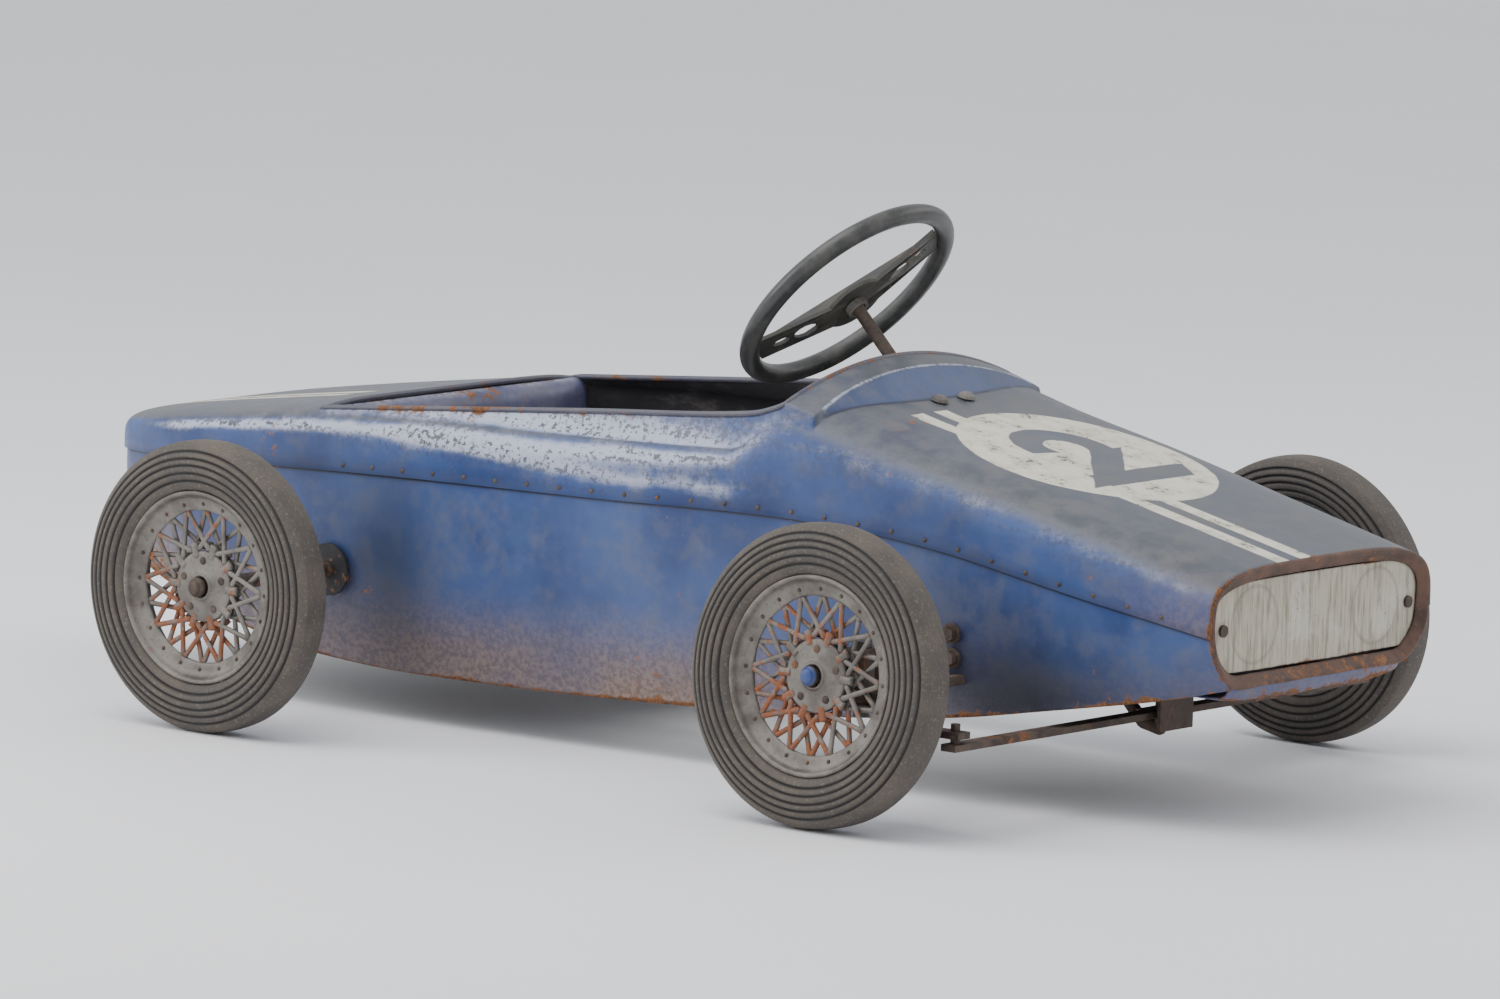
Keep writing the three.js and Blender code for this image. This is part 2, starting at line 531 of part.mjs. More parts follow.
// The column runs straight from the steering wheel, through its strap, and its
// cranked lower end stands up through the tie rod's loop.
function steeringColumn() {
  const top = hub.clone().addScaledVector(columnDown, -8);
  const pinTop = crankBend.clone().setZ(TIE_ROD_Z + 12);
  return join(
    bar(top, crankTurn, ROD, 16),
    new THREE.SphereGeometry(ROD / 2 + 0.05, 8, 6).translate(crankTurn.x, crankTurn.y, crankTurn.z),
    bar(crankTurn, crankBend, ROD, 16),
    new THREE.SphereGeometry(ROD / 2 + 0.05, 8, 6).translate(crankBend.x, crankBend.y, crankBend.z),
    bar(crankBend, pinTop, 8, 16));
}
place('steering_column', steeringColumn(), rustySteel);

// Strap from the front beam. The column runs through its flat top, and its
// front hangs down ahead of the tie rod.
const STRAP_TOP_Z = 112;
const STRAP_FOOT_Z = 53;
function columnStrap() {
  const beamTop = BEAM_Z - 5 + 3.5 + GAP;
  const frontX = TIE_ROD_X + LOOP_FRONT + LOOP_WALL + 5;
  const backX = FRONT_AXLE_X - 6;
  const pieces = [
    block(16, 40, 3, backX + 8, 0, beamTop + 1.5),
    block(3, 40, STRAP_TOP_Z - beamTop, backX + 1.5, 0, (STRAP_TOP_Z + beamTop) / 2),
    block(frontX - backX, 40, 3, (frontX + backX) / 2, 0, STRAP_TOP_Z - 1.5),
    block(3, 40, STRAP_TOP_Z - STRAP_FOOT_Z, frontX - 1.5, 0, (STRAP_TOP_Z + STRAP_FOOT_Z) / 2)];
  return cut(join(...pieces), bar(hub, crankTurn, ROD + 1.2, 16));
}
place('column_strap', columnStrap(), rustySteel);

// Steering wheel parts are drawn flat, with their axis along Z and the +Y spoke
// to the left, and then laid on the column.
const wheelFrame = new THREE.Group();
wheelFrame.position.set(STEERING_WHEEL_X, 0, STEERING_WHEEL_Z);
wheelFrame.rotation.set(0, -RIM_LEAN, 0);
car.add(wheelFrame);
const clocked = new THREE.Group();
clocked.rotation.z = THREE.MathUtils.degToRad(SPOKE_TURN_DEG);
wheelFrame.add(clocked);

function steeringRim() {
  const outline = [];
  const sides = 8;
  for (let k = 0; k < sides; k += 1) {
    const angle = 2 * Math.PI * k / sides;
    const tube = STEERING_RIM_TUBE / 2;
    outline.push([STEERING_RIM_RADIUS + tube * Math.cos(angle), tube * Math.sin(angle)]);
  }
  return ringAroundY(outline, 36).rotateX(Math.PI / 2);
}

// Two spokes and a round boss in one dished plate, with two holes in each spoke.
function ovalHole(shape, centre, long, wide) {
  const hole = new THREE.Path();
  hole.absellipse(centre, 0, long, wide, 0, 2 * Math.PI, false, 0);
  shape.holes.push(hole);
}
function spokePlate() {
  const reach = STEERING_RIM_RADIUS - STEERING_RIM_TUBE / 2 - GAP;
  const tip = 15;
  const boss = 25;
  const tipAngle = Math.asin(tip / reach);
  const bossAngle = 0.62;
  const shape = new THREE.Shape();
  const rimX = reach * Math.cos(tipAngle);
  shape.moveTo(rimX, -tip);
  shape.absarc(0, 0, reach, -tipAngle, tipAngle, false);
  shape.absarc(0, 0, boss, bossAngle, Math.PI - bossAngle, false);
  shape.absarc(0, 0, reach, Math.PI - tipAngle, Math.PI + tipAngle, false);
  shape.absarc(0, 0, boss, Math.PI + bossAngle, 2 * Math.PI - bossAngle, false);
  shape.closePath();
  for (const side of [-1, 1]) {
    ovalHole(shape, side * 42, 10, 8);
    ovalHole(shape, side * 62, 7, 4.5);
  }
  const bore = new THREE.Path();
  bore.absellipse(0, 0, ROD / 2 + GAP, ROD / 2 + GAP, 0, 2 * Math.PI, false, 0);
  shape.holes.push(bore);
  const plate = new THREE.ExtrudeGeometry(shape, { depth: 3, bevelEnabled: false, curveSegments: 6 });
  const points = plate.attributes.position;
  for (let i = 0; i < points.count; i += 1) {
    const radius = Math.hypot(points.getX(i), points.getY(i));
    const drop = PLATE_DROP * Math.min((reach - radius) / (reach - boss), 1);
    points.setZ(i, points.getZ(i) - 1.5 - Math.max(drop, 0));
  }
  return plate.rotateZ(Math.PI / 2);
}
place('steering_wheel_rim', steeringRim(), darkPlastic, clocked);
place('steering_wheel_spokes', spokePlate(), darkPaint, clocked);
const collarBore = ROD / 2 + 0.7;
const collarTop = -PLATE_DROP - 1.5 - GAP;
const collar = ringAroundY([[collarBore, collarTop - 5], [9, collarTop - 5], [9, collarTop], [collarBore, collarTop]], 16);
place('steering_wheel_collar', collar.rotateX(Math.PI / 2), bareSteel, clocked);

// ---- wheels -------------------------------------------------------------
const TYRE_OUTLINE = [
  [72.8, -12], [80, -17], [91, -18.4], [104, -15.5], [110, -8],
  [110, 8], [104, 15.5], [91, 18.4], [80, 17], [72.8, 12],
];
const RIM_OUTLINE = [[57, -4], [71.9, -12], [71.9, 12], [57, 5]];
const HUB_OUTLINE = [[AXLE_DIAMETER / 2 + GAP, -17], [13, -17], [13, -3], [27, -3], [27, 5], [11, 5],
  [10, 9], [AXLE_DIAMETER / 2 + GAP, 9]];
const SPOKE_ROOTS = 10;

// Rim, hub and two layers of spokes leaning opposite ways, in one piece. +Y is
// its outer side.
function wheelCentre() {
  const pieces = [ringAroundY(RIM_OUTLINE, 24), ringAroundY(HUB_OUTLINE, 16)];
  for (let k = 0; k < SPOKE_ROOTS; k += 1) {
    for (const lean of [-1, 1]) {
      const from = 2 * Math.PI * k / SPOKE_ROOTS;
      const to = from + lean * Math.PI * 1.5 / SPOKE_ROOTS;
      const layer = 1 + lean * 2.2;
      const root = at(24 * Math.cos(from), layer, 24 * Math.sin(from));
      const tip = at(60 * Math.cos(to), layer, 60 * Math.sin(to));
      pieces.push(bar(root, tip, 3.6, 4));
    }
  }
  return join(...pieces);
}

const tyreGeometry = ringAroundY(TYRE_OUTLINE, 32);
const centreGeometry = wheelCentre();
const capGeometry = new THREE.LatheGeometry(
  [[0, 9.6], [7.5, 9.6], [7.5, 12.5], [6, 15.8], [0, 17]].map(([r, h]) => new THREE.Vector2(r, h)), 16);

function roadWheel(name, x, y, z, camber, capMaterial) {
  const side = Math.sign(y);
  const wheel = new THREE.Group();
  wheel.position.set(x, y, z);
  wheel.rotation.x = side * camber;
  const facing = new THREE.Group();
  facing.rotation.z = side > 0 ? 0 : Math.PI;
  wheel.add(facing);
  car.add(wheel);
  place(`tyre_${name}`, tyreGeometry.clone(), blackRubber, facing);
  place(`wheel_centre_${name}`, centreGeometry.clone(), dullZinc, facing);
  place(`axle_cap_${name}`, capGeometry.clone(), capMaterial, facing);
}
for (const [name, side] of SIDES) {
  roadWheel(`front_${name}`, FRONT_AXLE_X, side * WHEEL_CENTRE_Y, wheelCentreZ, CAMBER, bluePlastic);
  roadWheel(`rear_${name}`, REAR_AXLE_X, side * REAR_TRACK / 2, WHEEL_RADIUS, 0, rustySteel);
}

// ---- drive --------------------------------------------------------------
// The rear axle turns with both wheels. Its throws point opposite ways.
function rearAxle() {
  const end = REAR_TRACK / 2 + AXLE_END;
  const z = WHEEL_RADIUS;
  const x = REAR_AXLE_X;
  const pieces = [bar(at(x, -CRANK_Y + 12, z), at(x, CRANK_Y - 12, z), AXLE_DIAMETER, 16)];
  for (const [, side] of SIDES) {
    const throwX = x - side * CRANK_RADIUS;
    pieces.push(bar(at(x, side * (CRANK_Y + 12), z), at(x, side * end, z), AXLE_DIAMETER, 16));
    pieces.push(bar(at(throwX, side * (CRANK_Y - 13), z), at(throwX, side * (CRANK_Y + 13), z), 9, 16));
    for (const web of [-12, 12]) {
      pieces.push(block(CRANK_RADIUS + 12, 5, 12, (x + throwX) / 2, side * (CRANK_Y + web), z));
    }
  }
  return join(...pieces);
}
place('rear_axle', rearAxle(), rustySteel);

// Flanged bushes that the axle turns in.
for (const [name, side] of SIDES) {
  const skin = panelY(REAR_AXLE_X, WHEEL_RADIUS) + 2;
  const inner = skin - 12;
  const outline = [[AXLE_DIAMETER / 2 + GAP, inner], [BUSH_DIAMETER / 2, inner], [BUSH_DIAMETER / 2, skin],
    [20, skin], [20, skin + 3], [AXLE_DIAMETER / 2 + GAP, skin + 3]];
  const bush = ringAroundY(outline, 24);
  if (side < 0) bush.rotateZ(Math.PI);
  place(`rear_bush_${name}`, bush.translate(REAR_AXLE_X, 0, WHEEL_RADIUS), rustySteel);
}

// Push rods from the throws to the pedals, one forward and one back.
const ARM_RADIUS = Math.hypot(PEDAL_PIVOT_Z - WHEEL_RADIUS, CRANK_RADIUS);
const ROD_LENGTH = PEDAL_PIVOT_X - REAR_AXLE_X;
function pushRod(side) {
  const rearX = REAR_AXLE_X - side * CRANK_RADIUS;
  const y = side * CRANK_Y;
  const eye = (x, bore) => ringAroundY([[bore / 2, -4], [10, -4], [10, 4], [bore / 2, 4]], 16)
    .translate(x, y, WHEEL_RADIUS);
  const shank = block(ROD_LENGTH - 17, 5, 10, rearX + ROD_LENGTH / 2, y, WHEEL_RADIUS);
  return join(shank, eye(rearX, 9 + 2 * GAP), eye(rearX + ROD_LENGTH, 8));
}
for (const [name, side] of SIDES) place(`push_rod_${name}`, pushRod(side), rustySteel);

// The cross rod that both pedals hang from.
const crossRodEnd = halfWidth(PEDAL_PIVOT_X) - STEEL - 1.5;
const crossRod = bar(at(PEDAL_PIVOT_X, -crossRodEnd, PEDAL_PIVOT_Z), at(PEDAL_PIVOT_X, crossRodEnd, PEDAL_PIVOT_Z), 10);
place('pedal_cross_rod', crossRod, rustySteel);

// A pedal: an arm that hangs from the cross rod and a foot plate beside it.
function pedal(side) {
  const y = side * (CRANK_Y + 10);
  const hanger = ringAroundY([[5 + GAP, -5], [9, -5], [9, 5], [5 + GAP, 5]], 16).translate(0, y, 0);
  const arm = block(12, 5, ARM_RADIUS + 26, 0, y, -(ARM_RADIUS + 26) / 2 - 8);
  const plate = block(4, 48, 44, -7, side * (CRANK_Y + 30), -ARM_RADIUS - 10);
  const swing = Math.asin(CRANK_RADIUS / ARM_RADIUS) * (side < 0 ? -1 : 1);
  return join(hanger, arm, plate).rotateY(swing).translate(PEDAL_PIVOT_X, 0, PEDAL_PIVOT_Z);
}
for (const [name, side] of SIDES) place(`pedal_${name}`, pedal(side), bareSteel);

export default car;
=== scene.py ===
import json
import math

import bpy
import numpy as np
from mathutils import Matrix, Vector


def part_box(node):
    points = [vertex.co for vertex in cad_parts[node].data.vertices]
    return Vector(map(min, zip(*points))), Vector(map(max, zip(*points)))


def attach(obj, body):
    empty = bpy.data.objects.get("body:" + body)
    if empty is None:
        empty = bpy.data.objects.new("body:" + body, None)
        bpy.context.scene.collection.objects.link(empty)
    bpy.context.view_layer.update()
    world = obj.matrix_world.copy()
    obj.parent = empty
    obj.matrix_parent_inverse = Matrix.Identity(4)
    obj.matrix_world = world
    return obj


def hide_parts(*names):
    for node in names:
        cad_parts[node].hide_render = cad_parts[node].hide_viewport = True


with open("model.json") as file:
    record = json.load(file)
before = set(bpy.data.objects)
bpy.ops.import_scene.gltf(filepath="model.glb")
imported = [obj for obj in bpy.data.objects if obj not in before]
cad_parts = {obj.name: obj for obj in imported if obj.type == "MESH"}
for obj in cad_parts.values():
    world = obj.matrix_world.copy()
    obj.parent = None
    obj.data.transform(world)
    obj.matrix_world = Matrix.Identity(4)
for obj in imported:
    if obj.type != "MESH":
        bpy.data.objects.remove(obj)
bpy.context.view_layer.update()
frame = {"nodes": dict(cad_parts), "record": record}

# ---------------- camera
# A long lens far off the car's right front corner, a little above it.
looks_at, distance = Vector((0.02392, 0, 0.17868)), 7.88247
azimuth, elevation, roll = math.radians(38.77), math.radians(7.75), math.radians(1.72)
back = Vector((math.sin(azimuth) * math.cos(elevation),
               -math.cos(azimuth) * math.cos(elevation), math.sin(elevation)))
level = Vector((math.cos(azimuth), math.sin(azimuth), 0))
rise = back.cross(level)
right = level * math.cos(roll) + rise * math.sin(roll)
up = rise * math.cos(roll) - level * math.sin(roll)
camera_data = bpy.data.cameras.new("camera")
camera_data.lens = 251.04
camera_data.sensor_width = 36
camera_data.clip_end = 100
camera = bpy.data.objects.new("camera", camera_data)
bpy.context.scene.collection.objects.link(camera)
place = Matrix((right, up, back)).transposed().to_4x4()
place.translation = looks_at + back * distance
camera.matrix_world = place
bpy.context.scene.camera = camera


# ---------------- floor and light
# A plain pale floor that runs back to the horizon, and soft light from a broad
# overhead panel, a window-like side panel and a pale room all round.
def noise(tree, where, scale, detail=4.0, roughness=0.55, stretch=None):
    """A noise texture's value, with its place optionally stretched along each axis."""
    if stretch:
        mapping = tree.nodes.new("ShaderNodeMapping")
        mapping.inputs["Scale"].default_value = stretch
        tree.links.new(where, mapping.inputs["Vector"])
        where = mapping.outputs["Vector"]
    node = tree.nodes.new("ShaderNodeTexNoise")
    for label, value in (("Scale", scale), ("Detail", detail), ("Roughness", roughness)):
        node.inputs[label].default_value = value
    tree.links.new(where, node.inputs["Vector"])
    return node.outputs["Fac"]


def blend_colours(tree, mask, under, over):
    """One colour over another by a mask. A colour is a socket or three numbers."""
    node = tree.nodes.new("ShaderNodeMix")
    node.data_type = "RGBA"
    for colour, socket in ((under, node.inputs[6]), (over, node.inputs[7])):
        if isinstance(colour, tuple):
            socket.default_value = (*colour, 1)
        else:
            tree.links.new(colour, socket)
    if isinstance(mask, (int, float)):
        node.inputs[0].default_value = mask
    else:
        tree.links.new(mask, node.inputs[0])
    return node.outputs[2]


def new_material(name):
    """An empty material with its tree, its surface shader and object coordinates."""
    material = bpy.data.materials.new(name)
    material.use_nodes = True
    tree = material.node_tree
    where = tree.nodes.new("ShaderNodeTexCoord").outputs["Object"]
    return material, tree, tree.nodes["Principled BSDF"], where


floor_mesh = bpy.data.meshes.new("floor")
floor_mesh.from_pydata([(-9, -9, 0), (9, -9, 0), (9, 9, 0), (-9, 9, 0)], [], [(0, 1, 2, 3)])
floor = bpy.data.objects.new("floor", floor_mesh)
bpy.context.scene.collection.objects.link(floor)
floor_material, tree, shader, where = new_material("floor")
tree.links.new(blend_colours(tree, noise(tree, where, 3.0), (0.90, 0.90, 0.91), (0.95, 0.95, 0.96)),
               shader.inputs["Base Color"])
shader.inputs["Roughness"].default_value = 0.6
floor_mesh.materials.append(floor_material)

world = bpy.data.worlds.new("room")
bpy.context.scene.world = world
world.use_nodes = True
world.node_tree.nodes["Background"].inputs["Color"].default_value = (0.86, 0.88, 0.92, 1)
world.node_tree.nodes["Background"].inputs["Strength"].default_value = 1.0


def panel_light(name, place, size, power, colour=(1, 1, 1)):
    """A square area light at a place, turned to face the car."""
    data = bpy.data.lights.new(name, "AREA")
    data.shape = "RECTANGLE"
    data.size, data.size_y = size
    data.energy = power
    data.color = colour
    light = bpy.data.objects.new(name, data)
    bpy.context.scene.collection.objects.link(light)
    light.location = place
    light.rotation_euler = (Vector((0, 0, 0.2)) - Vector(place)).to_track_quat("-Z", "Y").to_euler()


panel_light("overhead", (-0.4, -0.9, 2.6), (2.4, 1.6), 46)
panel_light("side", (-2.4, -2.2, 1.7), (1.8, 1.8), 44, (0.97, 0.98, 1))
panel_light("far_side", (1.6, 2.4, 1.8), (2.0, 1.0), 16)


# ---------------- weathering
# Shared by every surface: brown rust in patches and pits, fine dust and grime.
def spread(tree, value, low, high, to_low=0.0, to_high=1.0):
    """The value taken from one range to another, smoothly and clamped."""
    node = tree.nodes.new("ShaderNodeMapRange")
    node.interpolation_type = "SMOOTHSTEP"
    for label, limit in (("From Min", low), ("From Max", high), ("To Min", to_low), ("To Max", to_high)):
        node.inputs[label].default_value = limit
    tree.links.new(value, node.inputs["Value"])
    return node.outputs["Result"]


def maths(tree, operation, first, second=None, clamp=False):
    """One step of arithmetic on two values, either of which may be a number."""
    node = tree.nodes.new("ShaderNodeMath")
    node.operation = operation
    node.use_clamp = clamp
    for value, socket in zip((first, second), node.inputs):
        if value is None:
            continue
        if isinstance(value, (int, float)):
            socket.default_value = value
        else:
            tree.links.new(value, socket)
    return node.outputs[0]


def weighted(tree, *parts):
    """The sum of values, each times its weight."""
    total = None
    for value, weight in parts:
        term = value if weight == 1 else maths(tree, "MULTIPLY", value, weight)
        total = term if total is None else maths(tree, "ADD", total, term)
    return total


def mottle(tree, value, low, high, under, over):
    """One colour over another where a value rises from low to high."""
    return blend_colours(tree, spread(tree, value, low, high), under, over)


def make_group(name, inputs, outputs):
    """An empty node group with named sockets. Inputs are (name, type, value)."""
    group = bpy.data.node_groups.new(name, "ShaderNodeTree")
    for label, kind, value in inputs:
        socket = group.interface.new_socket(label, in_out="INPUT", socket_type=kind)
        if value is not None:
            socket.default_value = value
    for label, kind in outputs:
        group.interface.new_socket(label, in_out="OUTPUT", socket_type=kind)
    return group, group.nodes.new("NodeGroupInput"), group.nodes.new("NodeGroupOutput")


def make_rust_group():
    """Rust where a patchy noise plus a given push passes a threshold, broken up by
    finer noise, with a colour from dark brown to orange, and its height."""
    group, given, result = make_group(
        "rust", [("Vector", "NodeSocketVector", None), ("Push", "NodeSocketFloat", 0.0)],
        [("Mask", "NodeSocketFloat"), ("Colour", "NodeSocketColor"), ("Height", "NodeSocketFloat")])
    where, push = given.outputs["Vector"], given.outputs["Push"]
    patches = noise(group, where, 14, 6, 0.62)
    pits = noise(group, where, 130, 5, 0.7)
    grain = noise(group, where, 520, 3, 0.6)
    total = weighted(group, (patches, 0.55), (pits, 0.45))
    mask = spread(group, maths(group, "ADD", total, push), 0.62, 0.68)
    tone = weighted(group, (pits, 0.6), (grain, 0.4))
    brown = mottle(group, tone, 0.38, 0.56, (0.055, 0.028, 0.018), (0.20, 0.085, 0.035))
    colour = mottle(group, tone, 0.55, 0.68, brown, (0.31, 0.13, 0.052))
    group.links.new(mask, result.inputs["Mask"])
    group.links.new(colour, result.inputs["Colour"])
    group.links.new(maths(group, "MULTIPLY", grain, mask), result.inputs["Height"])
    return group


rust_group = make_rust_group()


def use_group(tree, group, **given):
    """Adds a node group to a tree and joins or sets its named inputs."""
    node = tree.nodes.new("ShaderNodeGroup")
    node.node_tree = group
    for label, value in given.items():
        if isinstance(value, (int, float)):
            node.inputs[label].default_value = value
        else:
            tree.links.new(value, node.inputs[label])
    return node.outputs


def attribute(tree, name):
    """A value stored on the mesh's points."""
    node = tree.nodes.new("ShaderNodeAttribute")
    node.attribute_name = name
    return node.outputs["Fac"]


# ---------------- body paint
# Royal blue enamel, faded to dusty grey-blue where it faces up, rubbed pale along
# the shoulders and given a painted highlight there, with cream twin stripes and a
# racing roundel brushed on by hand.
roundel_x, roundel_radius = 340, 97
stripe_apart, stripe_half = 14, 7.5
stroke_half = 12.5


def make_marks_group():
    """Cream racing marks in plan: a roundel, twin stripes along the car on its right,
    and a plain block figure. Each is a signed distance in millimetres: the figure is
    an arc, a slanting bar and a foot."""
    group, given, result = make_group(
        "racing_marks", [("Vector", "NodeSocketVector", None)],
        [("Cream", "NodeSocketFloat"), ("Figure", "NodeSocketFloat")])
    m = lambda *a: maths(group, *a)
    split = group.nodes.new("ShaderNodeSeparateXYZ")
    group.links.new(given.outputs["Vector"], split.inputs[0])
    wobble = m("MULTIPLY", m("SUBTRACT", noise(group, given.outputs["Vector"], 60), 0.5), 2.4)
    x = m("ADD", m("MULTIPLY", split.outputs["X"], 1000), wobble)
    y = m("ADD", m("MULTIPLY", split.outputs["Y"], 1000), wobble)

    def distance(cx, cy):
        across, along = m("SUBTRACT", x, cx), m("SUBTRACT", y, cy)
        return m("SQRT", m("ADD", m("MULTIPLY", across, across), m("MULTIPLY", along, along)))

    def band(value, middle, half):
        return m("SUBTRACT", m("ABSOLUTE", m("SUBTRACT", value, middle)), half)

    roundel = m("SUBTRACT", distance(roundel_x, 0), roundel_radius)
    centre = m("ADD", m("MULTIPLY", x, 0.04), -56)
    beside = m("SUBTRACT", y, centre)
    twin = band(m("ABSOLUTE", beside), stripe_apart, stripe_half)
    bonnet = m("MAXIMUM", twin, m("SUBTRACT", 228, x))
    tail = m("MAXIMUM", band(m("ABSOLUTE", m("ADD", y, 42)), stripe_apart, stripe_half),
             m("MAXIMUM", m("ADD", x, 330), m("SUBTRACT", -498, x)))
    cream = m("MINIMUM", roundel, m("MINIMUM", bonnet, tail))

    arc = m("MAXIMUM", band(distance(322, -2), 30, stroke_half),
            m("SUBTRACT", x, m("ADD", 333, m("MULTIPLY", y, 0.2))))
    slant = m("ADD", m("MULTIPLY", m("SUBTRACT", x, 338), 0.765), m("MULTIPLY", m("SUBTRACT", y, 25), 0.644))
    bar = m("MAXIMUM", m("SUBTRACT", m("ABSOLUTE", slant), stroke_half), band(x, 365, 31))
    foot_end = m("SUBTRACT", m("ADD", y, m("MULTIPLY", m("SUBTRACT", x, 372), 0.6)), 71)
    foot = m("MAXIMUM", band(x, 386, 11.5), m("MAXIMUM", foot_end, m("SUBTRACT", -44.5, y)))
    figure = m("MINIMUM", arc, m("MINIMUM", bar, foot))
    group.links.new(spread(group, cream, 0.5, -0.5), result.inputs["Cream"])
    group.links.new(spread(group, figure, 0.5, -0.5), result.inputs["Figure"])
    return group


def dress(tree, shader, colour, roughness, metallic=None):
    """Joins a colour, a roughness and, where given, a metallic value to the shader."""
    tree.links.new(colour, shader.inputs["Base Color"])
    tree.links.new(roughness, shader.inputs["Roughness"])
    if metallic is not None:
        tree.links.new(metallic, shader.inputs["Metallic"])


def roughen(tree, shader, height, strength, distance=0.0006):
    """Bumps the shader's surface by a height."""
    bump = tree.nodes.new("ShaderNodeBump")
    bump.inputs["Strength"].default_value = strength
    bump.inputs["Distance"].default_value = distance
    tree.links.new(height, bump.inputs["Height"])
    tree.links.new(bump.outputs["Normal"], shader.inputs["Normal"])


def make_blue(name, marked):
    """Blue enamel. Reads five point values: top (faces up), wear (worn edges and
    shoulders, with a painted highlight on the shoulders and the cowl's brow), grime
    (foot of the sides), edge (bare rusty lips) and a darkening value (black in the
    seams, darker round the front axle and low at the nose, and painted shade in the
    crease at the cowl's foot and beside the rear wheel)."""
    material, tree, shader, where = new_material(name)
    top, wear_and_highlight = attribute(tree, "top"), attribute(tree, "wear_and_highlight")
    grime, edge = attribute(tree, "grime"), attribute(tree, "edge")
    broad, fine = noise(tree, where, 9, 5), noise(tree, where, 240, 6, 0.7)
    medium = noise(tree, where, 46, 6, 0.66)
    streaks = noise(tree, where, 30, 5, 0.6, (0.35, 1, 3.0))
    side = mottle(tree, broad, 0.35, 0.65, (0.019, 0.046, 0.165), (0.050, 0.096, 0.265))
    faded = mottle(tree, medium, 0.35, 0.65, (0.075, 0.083, 0.098), (0.118, 0.122, 0.130))
    fade = maths(tree, "MULTIPLY", top, spread(tree, broad, 0.2, 0.6, 0.75, 1.0), True)
    colour = blend_colours(tree, fade, side, faded)
    dust = maths(tree, "MULTIPLY", spread(tree, medium, 0.42, 0.72), 0.35)
    colour = blend_colours(tree, dust, colour, (0.16, 0.15, 0.15))
    # Pale where the paint is worn, and a painted highlight wherever the wear value holds one: along the
    # shoulders and the cowl's brow.
    worn_and_highlit = spread(tree, weighted(tree, (wear_and_highlight, 0.42), (medium, 0.35), (streaks, 0.35)), 0.50, 0.74)
    worn_and_highlit = maths(tree, "MULTIPLY", worn_and_highlit, maths(tree, "MULTIPLY", wear_and_highlight, 1.3, True), True)
    colour = blend_colours(tree, worn_and_highlit, colour, (0.42, 0.45, 0.56))
    pits = spread(tree, weighted(tree, (fine, 0.6), (streaks, 0.4)), 0.515, 0.545)
    pitted = maths(tree, "MULTIPLY", pits, maths(tree, "MULTIPLY", wear_and_highlight, 0.9, True), True)
    colour = blend_colours(tree, pitted, colour, (0.035, 0.035, 0.050))
    if marked:
        marks = use_group(tree, make_marks_group(), Vector=where)
        chips = spread(tree, weighted(tree, (fine, 0.55), (medium, 0.45)), 0.565, 0.595)
        cream = mottle(tree, medium, 0.4, 0.7, (0.70, 0.67, 0.55), (0.50, 0.46, 0.36))
        painted = maths(tree, "MULTIPLY", marks["Cream"], maths(tree, "SUBTRACT", 1.0, chips), True)
        painted = maths(tree, "MULTIPLY", painted, maths(tree, "SUBTRACT", 1.0, marks["Figure"]), True)
        painted = maths(tree, "MULTIPLY", painted, spread(tree, top, 0.25, 0.5), True)
        colour = blend_colours(tree, painted, colour, cream)
    haze = maths(tree, "MULTIPLY", grime, spread(tree, broad, 0.3, 0.6, 0.55, 1.0), True)
    brown = mottle(tree, fine, 0.4, 0.6, (0.135, 0.092, 0.075), (0.235, 0.165, 0.130))
    colour = blend_colours(tree, haze, colour, brown)
    # Blackened by the darkening value: dark seams, darker round the front axle, and painted shade in the
    # cowl's foot crease and beside the rear wheel.
    colour = blend_colours(tree, attribute(tree, "darkening_and_shade"), colour, (0.012, 0.012, 0.014))
    push = weighted(tree, (edge, 0.22), (wear_and_highlight, 0.030), (grime, 0.045))
    rust = use_group(tree, rust_group, Vector=where, Push=push)
    dress(tree, shader, blend_colours(tree, rust["Mask"], colour, rust["Colour"]),
          maths(tree, "MAXIMUM", rust["Mask"], spread(tree, medium, 0.3, 0.75, 0.36, 0.62)))
    shader.inputs["Specular IOR Level"].default_value = 0.5
    roughen(tree, shader, weighted(tree, (fine, 0.35), (rust["Height"], 0.8), (medium, 0.5)), 0.35)
    return material


marked_blue = make_blue("marked_blue_enamel", True)
plain_blue = make_blue("plain_blue_enamel", False)


# ---------------- upper shell
# The whole top of the body is one pressing: bonnet, cowl, cockpit sides and
# tail, with an open cockpit, a raised crescent on the cowl and rolled edges.
def smooth_through(*stations):
    """A smooth value through stations of (x, value): a cubic between each pair, whose
    slopes are the harmonic mean of the neighbouring slopes, so it never overshoots."""
    xs, ys = np.array(sorted(stations), float).T
    steps = np.diff(ys) / np.diff(xs)
    slopes = np.concatenate([steps[:1], np.zeros(len(xs) - 2), steps[-1:]])
    before, after = steps[:-1], steps[1:]
    same = before * after > 0
    slopes[1:-1][same] = 2 * before[same] * after[same] / (before[same] + after[same])

    def value(x):
        x = np.clip(np.asarray(x, float), xs[0], xs[-1])
        i = np.clip(np.searchsorted(xs, x, side="left") - 1, 0, len(steps) - 1)
        width, rise = xs[i + 1] - xs[i], ys[i + 1] - ys[i]
        t = (x - xs[i]) / width
        a, b = slopes[i] * width - rise, rise - slopes[i + 1] * width
        return ys[i] + t * rise + t * (1 - t) * (a * (1 - t) + b * t)
    return value


